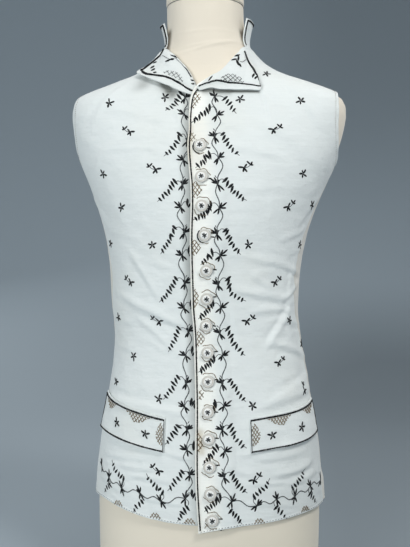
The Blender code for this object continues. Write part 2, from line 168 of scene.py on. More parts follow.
MM = 0.001
CLOTH = 1.8  # the wall of every cloth piece
LAYER_GAP, LAPEL_GAP = 0.8, 1.3  # between layers, and under a lapel
SEAM_GAP = 0.5  # across a seam
ROUND_RIM = 0.35  # how far a wall's middle stands past its edges
THREAD_LIFT, RAISED_LIFT = 0.12, 0.25  # how far threads lie over a front, and over a trimming
PER_DEGREE = math.radians(1) * 105  # across a front, for each degree round the form
LOG = logging.getLogger("waistcoat")
Array = np.ndarray
Points = Sequence[Sequence[float]]
Offset = Callable[[Array, Array], Array]
Colour = tuple[float, float, float]
Material, Object, Socket = bpy.types.Material, bpy.types.Object, bpy.types.NodeSocket


# ---------------------------------------------------------------- tables and the form
def rows(text: str) -> Array:
    """A table's numbers."""
    return np.array([row.split() for row in text.split(",")], float)


def ease_in(value: Array) -> Array:
    """0 to 1, easing in and out."""
    t = np.clip(value, 0.0, 1.0)
    return t * t * (3 - 2 * t)


def bell(value: Array) -> Array:
    """1 at 0, falling away on both sides."""
    return np.exp(-(value**2))


def from_front(degrees: Array) -> Array:
    """The same angles round the form, as -180 to 180."""
    return (degrees + 180) % 360 - 180


def unit(ways: Array) -> Array:
    """Directions, each a unit long."""
    return ways / np.maximum(np.linalg.norm(ways, axis=-1, keepdims=True), 1e-9)


class Curve:
    """A table with named columns, read along smooth curves through its rows."""

    def __init__(self, names: str, table: str | Points) -> None:
        """Keeps the columns.

        Args:
            names: the columns' names.
            table: the rows, as text or numbers.
        """
        values = rows(table) if isinstance(table, str) else np.array(table, float)
        self.columns = dict(zip(names.split(), values.T))
        self.last = len(values) - 1
        self.fine = np.linspace(0.0, self.last, self.last * 60 + 1)

    def at(self, name: str, row: Array) -> Array:
        """A column at fractional rows.

        Args:
            name: the column.
            row: fractional rows.

        Returns:
            The column's values.
        """
        row = np.clip(row, 0.0, self.last)
        low = np.minimum(row.astype(int), self.last - 1)
        t = row - low
        near = (np.clip(low + k, 0, self.last) for k in (-1, 0, 1, 2))
        before, start, end, after = (self.columns[name][index] for index in near)
        bend = 2 * before - 5 * start + 4 * end - after
        cubic = 3 * (start - end) + after - before
        return start + 0.5 * t * (end - before + t * (bend + t * cubic))

    def row(self, name: str, value: Array) -> Array:
        """The fractional rows where a rising column reaches values."""
        return np.interp(value, self.at(name, self.fine), self.fine)

    def read(self, wanted: str, name: str, value: Array) -> Array:
        """One column where another reaches values."""
        return self.at(wanted, self.row(name, value))

    def cut(self, count: int) -> "Curve":
        """The same table, its first rows alone."""
        return Curve(" ".join(self.columns), np.stack(list(self.columns.values()), axis=1)[:count])


class Form:
    """The dress form's surface, a loft of rounded sections."""

    dip, dip_height, dip_spread = 3.5, 786, 17  # how far the shoulders sink, and where
    sections = Curve(
        "height half_width front back centre squareness",
        """0 153 93 101 2 2.3, 5 159 99 107 2 2.3, 22 161 102 110 2 2.3, 90 163 105 114 1 2.3,
        150 164 107 117 0 2.3, 190 163 108 118 0 2.3, 230 159.5 107 115 0 2.3, 270 154.5 105 108 0 2.3,
        300 149 103 100 0 2.3, 330 143 101 92 0 2.3, 360 137.5 99 86 0 2.3, 405 133.5 98 82 0 2.3,
        450 135 101 85 0 2.3, 495 138 106 92 0 2.3, 540 145 112 100 0 2.3, 570 152.5 114.5 105 0 2.35,
        600 163.5 115 109 0 2.4, 630 176 112.5 111.5 0 2.45, 660 188 107.5 111.5 0 2.5,
        690 197.5 100 109 0 2.6, 718 203 91 104 0 2.7, 735 202.5 85 100 0 2.7, 745 197.5 81 97 0 2.65,
        752 188 78 94.5 0 2.55, 758 175 76 92 0 2.45, 764 160 74 89.5 0 2.4, 772 141 71.5 86.5 0 2.3,
        781 119 69 83 0 2.2, 791 98 66.5 79 0 2.1, 801 82 64 74.5 -1 2.05, 813 69.5 61.5 69.5 -2 2,
        820 65.2 60.5 67 -3 2, 828 61.7 59.5 65 -4 2, 845 58 58.5 61.5 -5 2, 870 57 57.5 59 -7 2,
        900 56.5 56.5 57 -8 2, 918 53 53 53 -9 2, 931 43 43 43 -9 2, 938 25 25 25 -9 2""",
    )
    sway = Curve(
        "height aside",
        """0 1, 130 1.5, 230 2, 300 2, 330 1.5, 390 -0.5, 420 -2.5, 450 -4.3, 520 -3.5, 620 -0.5, 720 1.3,
        800 0, 860 -3, 940 -4""",
    )

    def row(self, height: Array) -> Array:
        """The fractional section rows at heights."""
        return self.sections.row("height", height)

    def height(self, row: Array) -> Array:
        """The heights of fractional section rows."""
        return self.sections.at("height", row)

    def point(self, degrees: Array, row: Array) -> Array:
        """Points of the surface.

        Args:
            degrees: angles round the form.
            row: fractional section rows.

        Returns:
            The points.
        """
        angle = np.radians(degrees)
        names = ("half_width", "front", "back", "centre", "squareness")
        width, front, back, centre, power = (self.sections.at(name, row) for name in names)
        depth = np.where(np.cos(angle) > 0, front, back)
        across, along = np.abs(np.sin(angle)) / width, np.abs(np.cos(angle)) / depth
        reach = (across**power + along**power) ** (-1.0 / power)
        height = self.height(row) + 0 * angle
        aside = self.sway.read("aside", "height", height)
        sunk = height - self.dip * bell((height - self.dip_height) / self.dip_spread)
        return np.stack((reach * np.sin(angle) + aside, centre - reach * np.cos(angle), sunk), axis=-1)

    def normal(self, degrees: Array, row: Array) -> Array:
        """Unit normals of the surface, outward.

        Args:
            degrees: angles round the form.
            row: fractional section rows.

        Returns:
            The normals.
        """
        round_it = self.point(degrees + 0.573, row) - self.point(degrees - 0.573, row)
        up = self.point(degrees, row + 0.05) - self.point(degrees, row - 0.05)
        return unit(np.cross(round_it, up))

    def lay(self, degrees: Array, row: Array, offset: Array) -> Array:
        """Points over the surface, moved out along its normals."""
        return self.point(degrees, row) + self.normal(degrees, row) * offset[..., None]


FORM = Form()


# ---------------------------------------------------------------- how the cloth lies
EDGE = "v degrees height"  # v: shares of a front's height
LEFT_EDGE = Curve(
    EDGE,
    """0 -2.1 131, 0.12 -4.5 203, 0.24 -5.1 290, 0.33 -5.4 372, 0.37 -5 410, 0.42 -4.9 450, 0.5 -5.6 530,
    0.58 -5.8 602, 0.65 -9.7 662, 0.685 -10.1 688, 0.71 -11.2 708, 0.75 -11.6 736, 0.79 -6.5 755,
    0.84 11.5 772, 0.89 32 792, 0.94 57 818, 1 90 815""",
)
RIGHT_EDGE = Curve(
    EDGE,
    """0 15.5 141, 0.12 13.5 203, 0.24 12.5 290, 0.33 11.4 372, 0.42 10.4 450, 0.5 9.6 530, 0.58 9 602,
    0.65 8 662, 0.71 7 708, 0.75 3 730, 0.78 -5 749, 0.81 -10.4 764, 0.85 -18.5 778, 0.89 -30 793,
    0.94 -57 818, 1 -90 815""",
)
LAPEL_FOOT = 12  # the rows of the left edge below its lapel
LEFT_CLOSING, RIGHT_CLOSING = LEFT_EDGE.cut(LAPEL_FOOT), RIGHT_EDGE.cut(LAPEL_FOOT - 2)
SIDE_ROWS = (
    """0 84 162, 0.12 85.5 220, 0.24 85.5 300, 0.33 83 372, 0.42 76 440, 0.5 73.5 500, 0.58 80 572,
    0.65 87.5 630, 0.68 89 643, 0.7 89.5 652"""
)
SIDE_FRONT = Curve(EDGE, SIDE_ROWS + ", 0.75 80.5 667, 0.8 76 692, 0.87 75.5 720, 0.94 78.5 744, 1 90 758.5")
SIDE_BACK = Curve(EDGE, SIDE_ROWS + ", 0.75 98 664, 0.8 103 688, 0.87 103.5 718, 0.94 100.5 744, 1 90 758.5")
UNDERARM = 0.70
LEFT_HEM = Curve("u height", "0 131, 0.25 139, 0.5 144, 0.75 152, 1 162")
RIGHT_HEM = Curve("u height", "0 141, 0.25 142, 0.5 147, 0.75 158, 1 162")
HEM_RISE = Curve(
    "degrees lift",
    """-180 0, -135 0, -104 3, -84 6, -67 6.5, -56 2.5, -47 1, -24 0.5, 15 0.6, 36 0.8, 55 0.4, 66 -0.4,
    76 -2.5, 84 -4, 110 -2, 145 0, 180 0""",
)
BACK_HEM, BACK_NECK = 150.0, 826.0
NAPE = 25 / 30  # the share of the back's height where its neck edge starts
NECK_POINT = 815.0
EASE = Curve(
    "height room",
    """120 4.6, 160 3.6, 220 2.6, 320 2.2, 430 2.4, 540 1.6, 620 2.2, 670 2.8, 720 2.7, 755 1.5, 785 1.9,
    815 2.3, 850 2.3""",
)
# from degrees and height, to degrees and height, width, rise, trough, bow
CREASES = rows(
    """-59.5 458 -11 415 7 2.8 0.7 1, -48 518 -30.5 458 6 1.3 0.6 0, -45.8 425 -11 365 6 1.1 0.6 0,
    -15.4 296 -66 310 7 2 0.9 0, -30.2 244 -6.9 231 4 1.3 0.8 1, -54.5 218 -33.8 216 5 1.2 0.7 1,
    -60.1 722 -29.8 703 7 1.1 0.5 1, -62 666 -32.1 663 5 0.6 0.6 0, -29 742 -16 692 5 1 0.6 0,
    -34.9 507 -18.9 496 4 0.9 0.7 0, -40.7 395 -22.6 376 4 0.9 0.7 1, -72 388 -55.2 381 5 1 0.7 1,
    -70 426 -51 419 5 0.9 0.7 1, -63.2 253 -35.6 244 5 1.4 0.7 1, -66.8 230 -41.9 229 5 1.1 0.7 1,
    -50 204 -22 200 5 1 0.8 -2, -40 176 -14 170 4 0.9 0.8 1, -72 196 -56 184 5 1 0.8 0,
    -42 694 -66 640 14 1.4 0.3 4, -40 736 -28 764 7 1.4 0.7 2, -64 556 -40 540 7 0.6 0.8 3,
    23.2 516 43.5 508 5 1.1 0.6 0, 42.1 509 80.4 488 5 2.2 0.8 -1.5, 38.2 488 52.6 468 5 1.4 0.6 0,
    27.1 468 67.9 450 6 2.5 0.8 1, 45.3 466 64.3 456 5 1.6 0.6 1, 62.4 455 81.7 483 5 2.4 0.8 2,
    40.4 436 66.9 439 6 2.2 0.5 -1, 66.9 439 49.4 390 6 2.6 0.7 -1, 51.5 391 84 368 6 2.4 0.8 -2.5,
    26.2 436 29.2 395 5 1.1 0.6 0, 55.2 425 82 415 5 1.2 0.7 0, 84 340 50 314 7 1.6 0.7 2,
    40 303 84 322 7 1.8 0.7 -2, 47.8 210 70 221 6 2.3 0.8 3, 50.9 249 71.1 253 4 1.4 0.8 1,
    24.3 238 37.9 239 3.5 0.9 0.7 0, 37.8 233 65.1 237 5 1.4 0.8 2, 32.7 199 53.4 199 4 1 0.8 1,
    18 224 34 210 5 0.9 0.8 0, 30 172 56 166 4 0.8 0.8 -1, 58 196 76 206 5 1 0.8 0,
    47 744 46.2 706 6 1.3 0.5 0, 21.7 664 50.6 651 6 0.8 0.5 0, 44 694 68 640 14 1.4 0.3 -4,
    54.3 536 73.6 553 5 1.5 0.7 0, 62.8 518 80.5 527 4 1 0.8 0, 20 604 52 612 7 0.6 0.8 2,
    80 424 86 336 12 2.6 0.1 2, 69 502 68 414 6 1 0.6 3, 76 216 83 156 7 1.6 0.5 2,
    -74 300 -80 190 9 1.4 0.4 -3, -66 560 -82 604 8 1.3 0.6 3, 66 560 82 604 8 1.3 0.6 -3,
    60 764 66 700 7 1 0.6 2, -62 762 -66 704 7 1 0.6 -2, 88 196 91 150 12 2.4 0.2 0,
    150 448 206 458 11 3 0.5 5, 142 436 188 428 6 1.7 0.8 -4, 176 476 226 468 6 1.6 0.8 4,
    150 500 186 494 6 1 0.8 -3, 114 482 154 426 11 3 0.4 4, 246 432 206 486 11 3 0.4 -4,
    106 470 130 448 5 1.3 0.8 2, 252 462 224 436 5 1.4 0.8 -2, 160 410 204 398 7 1.2 0.8 3,
    128 300 116 180 16 3.4 0.3 6, 232 296 246 176 16 3.2 0.3 -6, 176 280 181 160 16 2.6 0.3 4,
    150 330 146 190 9 1.7 0.5 4, 204 320 214 186 9 1.7 0.5 -4, 150 800 134 700 9 1.7 0.5 5,
    212 796 228 690 9 1.6 0.5 -5, 126 690 160 676 7 1.2 0.7 4, 238 664 206 650 7 1.3 0.7 -3,
    166 742 196 736 7 0.9 0.7 2, 112 640 128 560 8 1.4 0.5 3, 246 636 236 552 8 1.4 0.5 -3"""
)


def raised(degrees: Array, height: Array) -> Array:
    """How far the creases raise the cloth: soft ridges, most with a trough beside them.

    Args:
        degrees: angles round the form.
        height: heights.

    Returns:
        The rises.
    """
    total = np.zeros(np.broadcast(degrees, height).shape)
    scale = math.radians(1) * FORM.sections.at("half_width", FORM.row(height))
    for start, foot, end, head, width, size, trough, bow in CREASES:
        run, rise = (end - start) * scale, head - foot
        east, north = (degrees - start) * scale, height - foot
        span = np.hypot(run, rise)
        share = (east * run + north * rise) / span**2
        beside = (east * rise - north * run) / span - 4 * bow * share * (1 - share)
        fade = ease_in(share / 0.4 + 0.5) * ease_in((1 - share) / 0.4 + 0.5)
        ridge = bell(beside / (width * np.where(beside > 0, 0.55, 1.0)))
        hollow = np.exp(-((beside / width - 1.3) ** 2) * 2.2)
        total += size * fade * (ridge - (0.25 + trough * 0.4) * hollow)
    return total


def under(degrees: Array, height: Array) -> Array:
    """The inner face of a panel next to the form: its ease, its creases and a slight rumple.

    Args:
        degrees: angles round the form.
        height: heights.

    Returns:
        The offsets.
    """
    across, up = degrees * 2.4, height * 1.0
    rumple = 0.24 * (
        np.sin(across / 13.0 + 1.7 * np.sin(up / 31.0))
        + np.sin(up / 17.0 + 1.4 * np.sin(across / 23.0 + 1.1) + 0.6)
        + 0.6 * np.sin(across / 5.5 + up / 8.5 + 1.9 * np.sin(up / 21.0))
    )
    return EASE.read("room", "height", height) + raised(degrees, height) + rumple


def over(degrees: Array, height: Array) -> Array:
    """The inner face of the left front, which rides over the right one's edge."""
    past = degrees - RIGHT_CLOSING.read("degrees", "height", height)
    return under(degrees, height) + (CLOTH + LAYER_GAP) * (1 - ease_in(past / 6.0 - 1))


def left_outer(degrees: Array, height: Array) -> Array:
    """The outer face of the left front."""
    return over(degrees, height) + CLOTH


def right_outer(degrees: Array, height: Array) -> Array:
    """The outer face of the right front."""
    return under(degrees, height) + CLOTH


# ---------------------------------------------------------------- shader maths
class Graph:
    """A material's nodes, made by kind, settings and sockets."""

    def __init__(self, name: str) -> None:
        """Starts a material with one Principled shader.

        Args:
            name: the material's name.
        """
        self.material = bpy.data.materials.new(name)
        self.material.use_nodes = True
        self.tree = self.material.node_tree

    def node(self, kind: str, sockets: dict, **settings: object) -> Sequence[Socket]:
        """Any node of the graph.

        Args:
            kind: the node's type, after its ShaderNode.
            sockets: values or links of its inputs, by name or number.
            settings: its own settings, set first.

        Returns:
            The node's outputs.
        """
        made = self.tree.nodes.new("ShaderNode" + kind)
        for name, value in settings.items():
            setattr(made, name, value)
        for name, value in sockets.items():
            self.feed(made.inputs[name], value)
        return made.outputs

    def feed(self, socket: Socket, value: object) -> None:
        """Sets a socket to a value, or links it.

        Args:
            socket: an input.
            value: a number, a colour or a link.
        """
        value = value.socket if isinstance(value, Value) else value
        if isinstance(value, Socket):
            self.tree.links.new(value, socket)
        else:
            socket.default_value = (*value, 1.0) if socket.type == "RGBA" else value

    def mix(self, share: "Value", low: object, high: object) -> Socket:
        """A colour between two others."""
        return self.node("Mix", {0: share, 6: low, 7: high}, data_type="RGBA")[2]

    def place(self) -> Socket:
        """The surface's own place, in metres."""
        return self.node("TexCoord", {})["Object"]

    def noise(self, scale: float, detail: float, stretch: Colour | None = None) -> "Value":
        """Cloudy noise from 0 to 1, stretched along each axis where that is given.

        Args:
            scale: how fine it is.
            detail: how many finer layers it has.
            stretch: a factor for each axis.

        Returns:
            The noise.
        """
        where = self.place()
        if stretch:
            where = self.node("VectorMath", {0: where, 1: stretch}, operation="MULTIPLY")[0]
        return Value(self, self.node("TexNoise", {"Vector": where, "Scale": scale, "Detail": detail})["Fac"])

    def axes(self) -> list["Value"]:
        """The surface's place as three numbers."""
        return [Value(self, part) for part in self.node("SeparateXYZ", {0: self.place()})]

    def painted(self, name: str) -> "Value":
        """A number stored at the mesh's points."""
        return Value(self, self.node("Attribute", {}, attribute_name=name)["Fac"])

    def finish(self, height: "Value | None" = None, depth: float = 1.0, **sockets: object) -> Material:
        """Feeds the shader's sockets.

        Args:
            height: a height from 0 to 1 for its bump.
            depth: what a height of 1 stands for, in millimetres.
            sockets: values or links, named with low lines for spaces.

        Returns:
            The material.
        """
        if height:
            relief = {"Height": height, "Distance": depth * MM, "Strength": 1.0}
            sockets["Normal"] = self.node("Bump", relief)["Normal"]
        for name, value in sockets.items():
            self.feed(self.tree.nodes["Principled BSDF"].inputs[name.replace("_", " ")], value)
        return self.material


class Value:
    """A number that varies over a surface, written as Python arithmetic."""

    def __init__(self, graph: Graph, socket: Socket) -> None:
        """Wraps a node's output."""
        self.graph, self.socket = graph, socket

    def math(self, operation: str, *others: object) -> "Value":
        """A Math node on this number and others."""
        sockets = dict(enumerate((self, *others)))
        return Value(self.graph, self.graph.node("Math", sockets, operation=operation)[0])

    def __add__(self, other: object) -> "Value":
        """Sum."""
        return self.math("ADD", other)

    __radd__ = __add__

    def __mul__(self, other: object) -> "Value":
        """Product."""
        return self.math("MULTIPLY", other)

    __rmul__ = __mul__

    def __sub__(self, other: object) -> "Value":
        """Difference."""
        return self.math("SUBTRACT", other)

    def __rsub__(self, other: float) -> "Value":
        """Difference from a plain number."""
        return self * -1.0 + other

    def band(self, low: float, high: float) -> "Value":
        """0 below low and 1 above high, easing between."""
        t = ((self - low) * (1.0 / (high - low))).math("MINIMUM", 1.0).math("MAXIMUM", 0.0)
        return t * t * (3.0 - 2.0 * t)

    def waves(self, length: float) -> "Value":
        """Waves from 0 to 1 along a length in millimetres."""
        return (self * (math.tau / (length * MM))).math("SINE") * 0.5 + 0.5


@dataclass(frozen=True)
class Woven:
    """A plain-woven cloth: fine crossed threads, uneven yarn, washed rumple, a faint warmth with age, and washes read
    from the mesh: a warm tint, stains and painted shade.
    """

    name: str
    colour: Colour
    aged: Colour
    warm: Colour
    # the colour that painted shade, standing for shadow, mixes the cloth towards
    painted_shade_colour: Colour
    stained: Colour = (0.57, 0.51, 0.39)
    thread: float = 0.55
    rumple: float = 1.3
    slubs: float = 0.04

    def make(self) -> Material:
        """The finish as a material.

        Returns:
            The material.
        """
        g = Graph(self.name)
        x, y, z = g.axes()
        weft, warp = z.waves(self.thread), (x.math("ARCTAN2", y) * 0.15).waves(self.thread)
        yarn = g.noise(1.0, 3.0, (22.0, 22.0, 560.0)) * 0.8 + g.noise(1.0, 2.0, (480.0, 480.0, 60.0)) * 0.2
        clouds = g.noise(7.0, 3.0)
        base = g.mix(clouds.band(0.48, 0.78) * 0.55, self.colour, self.aged)
        # washes stored at the mesh's points: a warm tint, stains, and painted shade that stands for shadow
        for wash, colour in (("warmth", self.warm), ("stain", self.stained), ("shade", self.painted_shade_colour)):
            base = g.mix(g.painted(wash), base, colour)
        slub = tuple(c * (1 - 4.0 * self.slubs) for c in self.colour)
        rumpled = g.noise(1.0, 2.0, (38.0, 38.0, 76.0)) * 0.9 + g.noise(90.0, 2.0) * 0.32
        return g.finish(
            rumpled * self.rumple + yarn * 0.09 + weft * warp * 0.05,
            1.5,
            Base_Color=g.mix(yarn.band(0.35, 0.75) * clouds * 0.32, base, slub),
            Roughness=(1.0 - yarn * 0.1) * 0.86,
            Sheen_Weight=0.25,
            Sheen_Roughness=0.5,
            Specular_IOR_Level=0.25,
        )


@dataclass(frozen=True)
class Jersey:
    """The form's stretched knit: fine upright ribs, light soiling, a darker tone towards its foot and painted shade
    beside the collar.
    """

    name: str
    colour: Colour
    worn: Colour
    # the dark brown of painted shade on the neck inside the collar's ends
    painted_shade_colour: Colour = (0.12, 0.09, 0.05)
    rib: float = 1.3

    def make(self) -> Material:
        """The finish as a material.

        Returns:
            The material.
        """
        g = Graph(self.name)
        x, y, z = g.axes()
        ribs, courses = (x.math("ARCTAN2", y) * 0.14).waves(self.rib), z.waves(self.rib * 0.8)
        clouds = g.noise(5.0, 4.0)
        worn = clouds.band(0.4, 0.75) * 0.5 + (1.0 - z.band(0.12, 0.7)) * 0.35
        return g.finish(
            ribs * 0.12 + courses * 0.06 + g.noise(30.0, 2.0) * 0.3,
            0.7,
            # the shade wash mixes in painted shade, standing for the collar's shadow on the neck
            Base_Color=g.mix(g.painted("shade"), g.mix(worn, self.colour, self.worn), self.painted_shade_colour),
            Roughness=0.8 + clouds * 0.12,
            Sheen_Weight=0.3,
            Sheen_Roughness=0.45,
            Specular_IOR_Level=0.25,
        )


@dataclass(frozen=True)
class Yarn:
    """Embroidery thread: twisted strands with a little lustre."""

    name: str
    colour: Colour
    faded: Colour
    roughness: float
    sheen: float = 0.2

    def make(self) -> Material:
        """The finish as a material.

        Returns:
            The material.
        """
        g = Graph(self.name)
        x, y, z = g.axes()
        twist = (x + y * 0.7 + z).waves(0.45)
        return g.finish(
            twist,
            0.06,
            Base_Color=g.mix(g.noise(60.0, 3.0).band(0.4, 0.75) * 0.6, self.colour, self.faded),
            Roughness=(1.0 - twist * 0.15) * self.roughness,
            Sheen_Weight=self.sheen,
            Specular_IOR_Level=0.2,
        )


@dataclass(frozen=True)
class StudioPaper:
    """Pale paper for the floor and the sweep behind, with painted shade: darker on the floor and to the right,
    lightest low on the sweep.
    """

    name: str
    colour: Colour

    def make(self) -> Material:
        """The finish as a material.

        Returns:
            The material.
        """
        g = Graph(self.name)
        x, _, z = g.axes()
        right, risen, high = x.band(-0.5, 0.5), z.band(0.0, 0.5), z.band(0.6, 1.8)
        # painted light and shade: the share by which the paper darkens towards half its colour
        painted_shading = right * (1.0 - risen) * 0.7 + risen * (right * 0.2 - 0.37) + high * (right * 0.2 + 0.1) + 0.42
        colour = g.mix(painted_shading, self.colour, tuple(c * 0.5 for c in self.colour))
        return g.finish(Base_Color=colour, Roughness=0.95, Specular_IOR_Level=0.1)


# each cloth's fourth colour is its painted shade, a shadow colour mixed in where the mesh marks it
COTTON = Woven(
    "white_cotton", (0.765, 0.81, 0.805), (0.75, 0.775, 0.735), (0.95, 0.96, 0.915), (0.14, 0.15, 0.135)
)
LINEN = Woven(
    "back_linen", (0.72, 0.71, 0.66), (0.68, 0.65, 0.56), (0.70, 0.66, 0.56), (0.5, 0.5, 0.46),
    thread=0.8, rumple=0.7, slubs=0.05,
)
# its warm colour tints the groove ring on the dome and, as painted shade, the rim's outer slope
BUTTON_LINEN = Woven(
    "button_linen", (0.87, 0.88, 0.86), (0.82, 0.82, 0.77), (0.46, 0.42, 0.35), (0.22, 0.22, 0.21),
    thread=0.45, rumple=0.3, slubs=0.05,
)
JERSEY = Jersey("form_jersey", (0.84, 0.77, 0.655), (0.72, 0.675, 0.555))
YARNS = (  # in the order of Thread
    Yarn("dark_silk", (0.004, 0.005, 0.006), (0.018, 0.022, 0.025), 0.6, 0.03),
    Yarn("grey_silk", (0.050, 0.058, 0.062), (0.11, 0.12, 0.12), 0.55),
    Yarn("tan_thread", (0.19, 0.145, 0.09), (0.32, 0.26, 0.175), 0.7),
    Yarn("white_thread", (0.70, 0.69, 0.64), (0.62, 0.60, 0.53), 0.7, 0.3),
)
PAPER = StudioPaper("pale_paper", (0.51, 0.595, 0.655))


# ---------------------------------------------------------------- meshes
def add_mesh(name: str, points: Array, faces: list, materials: Sequence[Material], **washes: Array) -> Object:
    """A shaded object in the scene.

    Args:
        name: the piece's name.
        points: its points in millimetres.
        faces: its faces as point numbers.
        materials: its material slots.
        washes: numbers stored at its points.

    Returns:
        The object.
    """
    mesh = bpy.data.meshes.new(name)
    mesh.from_pydata((np.asarray(points) * MM).tolist(), [], faces)
    for material in materials:
        mesh.materials.append(material)
    mesh.shade_smooth()
    for wash, values in washes.items():
        mesh.attributes.new(wash, "FLOAT", "POINT").data.foreach_set("value", values)
    made = bpy.data.objects.new(name, mesh)
    bpy.context.scene.collection.objects.link(made)
    return made


def grid_quads(count: int, columns: int, start: int = 0) -> Array:
    """The faces of a grid listed row by row."""
    corner = (np.arange(count - 1)[:, None] * columns + np.arange(columns - 1)).ravel() + start
    return np.stack((corner, corner + 1, corner + columns + 1, corner + columns), axis=1)


def turned_faces(rings: int, sides: int, foot: int, crown: int) -> list[tuple[int, ...]]:
    """The faces of a turned body.

    Args:
        rings: how many rings of points it has.
        sides: how many points a ring has.
        foot: the number of its lowest point.
        crown: the number of its highest point.

    Returns:
        Its faces as point numbers, the caps last.
    """
    ways = [(i, (i + 1) % sides) for i in range(sides)]
    top = (rings - 1) * sides
    walls = [(a + i, a + n, a + sides + n, a + sides + i) for a in range(0, top, sides) for i, n in ways]
    return walls + [cap for i, n in ways for cap in ((foot, n, i), (crown, top + i, top + n))]


def spread(length: float, pitch: float, fine: float = 1.0) -> Array:
    """Shares along a length, close together near both ends and a pitch apart between.

    Args:
        length: the length in millimetres.
        pitch: the step between.
        fine: the first step.

    Returns:
        Rising shares from 0 to 1.
    """
    ends = [0.0]
    while fine < pitch and ends[-1] < length / 3:
        ends.append(ends[-1] + fine)
        fine *= 1.18
    start = np.array(ends) / length
    count = max(2, round((1 - 2 * start[-1]) * length / pitch))
    middle = np.linspace(start[-1], 1 - start[-1], count + 1)
    return np.concatenate((start[:-1], middle, (1 - start[:-1])[::-1]))


def shell(name: str, outer: Array, inner: Array, quads: Array, material: Material, **washes: Array) -> Object:
    """A sheet of cloth with its wall: two faces and a rounded rim.

    Args:
        name: the piece's name.
        outer: the outer face's points.
        inner: the inner face's points.
        quads: the outer face's grid.
        material: the cloth.
        washes: numbers at the outer face's points.

    Returns:
        The object.
    """
    count = len(outer)
    ends = np.concatenate([quads[:, [i, (i + 1) % 4]] for i in range(4)])
    # an edge is on the border where no face runs it the other way
    border = ~np.isin(ends @ (count, 1), ends @ (1, count)) & (ends[:, 0] != ends[:, 1])
    edges, centres = ends[border], np.tile(outer[quads].mean(axis=1), (4, 1))[border]
    out = np.zeros((count, 3))
    for end in edges.T:
        np.add.at(out, end, outer[edges].mean(axis=1) - centres)
    rim = np.unique(edges)
    place = np.full(count, -1)
    place[rim] = np.arange(len(rim)) + 2 * count
    middle = (outer[rim] + inner[rim]) / 2 + unit(out)[rim] * ROUND_RIM
    a, b = edges.T
    upper = np.stack((b, a, place[a], place[b]), axis=1)
    lower = np.stack((place[b], place[a], a + count, b + count), axis=1)
    faces = np.concatenate((quads, quads[:, ::-1] + count, upper, lower))
    washes = {wash: np.concatenate((values, values, values[rim])) for wash, values in washes.items()}
    return add_mesh(name, np.concatenate((outer, inner, middle)), faces.tolist(), [material], **washes)


def distance(lines: Sequence[Array], points: Array, step: float = 0.6) -> Array:
    """How far points are from lines, each taken as marks a short step apart.

    Args:
        lines: points along each.
        points: the points.
        step: between marks.

    Returns:
        Their distances.
    """
    marks = []
    for line in lines:
        for start, end in zip(line[:-1], line[1:]):
            steps = max(1, math.ceil(np.linalg.norm(end - start) / step))
            marks.extend(start + (end - start) * np.arange(steps)[:, None] / steps)
    tree = KDTree(len(marks))
    for i, mark in enumerate(marks):
        tree.insert(Vector(mark), i)
    tree.balance()
    found = [tree.find(Vector(point))[2] for point in points.reshape(-1, 3)]
    return np.array(found).reshape(points.shape[:-1])


FAR_OFF = 99.0  # a seam's distance where there is none


def trim(points: Array, free: Sequence[Array], seams: Sequence[Array] = (), band: float = 3.6) -> Array:
    """How far the outer face moves out: a turned band, its stitched groove, seams drawn in, and puckers.

    Args:
        points: the plain outer face.
        free: lines along its free edges.
        seams: lines along its seams.
        band: the width of the turned band.

    Returns:
        The moves at the points.
    """
    edge = distance(free, points)
    seam = distance(seams, points) if seams else FAR_OFF
    x, y, z = np.moveaxis(points, -1, 0)
    pucker = np.sin(z / 2.3 + 1.3 * np.sin(z / 9.0)) + np.sin((x + y) / 2.9 + 1.1 * np.sin(x / 7.0))
    turned = 0.3 * (1 - ease_in((edge - band + 0.6) / 0.8))
    groove = -0.3 * bell((edge - band - 0.2) / 0.8)
    drawn = -0.8 * bell(seam / 2.2) + 0.25 * bell((seam - 5.0) / 3.0)
    return turned + groove + drawn + 0.1 * np.exp(-np.minimum(edge, seam) / 9.0) * pucker


def dress(piece: Object, node: str, slot: str) -> Object:
    """Lets a piece ride with the part, and stand for its solid where one is named.

    Args:
        piece: its object.
        node: the solid's name, or nothing.
        slot: its finish's name.

    Returns:
        The same object.
    """
    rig.ride(piece, "root")
    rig.slot(piece, slot)
    if node:
        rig.replaces(piece, node)
    return piece


# ---------------------------------------------------------------- embroidery
class Thread(Enum):
    """The threads, in the order of their material slots."""

    SILK = 0
    STEM = 1
    TAN = 2
    WHITE = 3


class Cluster(Enum):
    """The leaf clusters of the vines: each leaf's turn and length."""

    INNER = ((143, 10.4), (166, 7.6), (114, 8.2), (60, 4.8), (-50, 11.0), (-76, 9.2))
    OUTER = ((37, 11.2), (64, 7.4), (5, 8.4), (220, 9.6), (252, 8.8))
    HEM = ((0, 11.4), (32, 8.8), (-30, 7.6), (172, 10.8), (208, 8.8))


def smooth_path(points: Points, pitch: float) -> Array:
    """A smooth line through flat points, cut into equal steps of about a pitch.

    Args:
        points: places on the line.
        pitch: the length of a step.

    Returns:
        The places between steps.
    """
    fine = np.array(points, float)
    if len(fine) > 2:
        curve = Curve("x z", fine)
        fine = np.stack((curve.at("x", curve.fine), curve.at("z", curve.fine)), axis=1)
    travelled = np.concatenate(([0.0], np.cumsum(np.hypot(*np.diff(fine, axis=0).T))))
    at = np.linspace(0, travelled[-1], max(2, round(travelled[-1] / pitch) + 1))
    return np.stack([np.interp(at, travelled, fine[:, k]) for k in (0, 1)], axis=1)


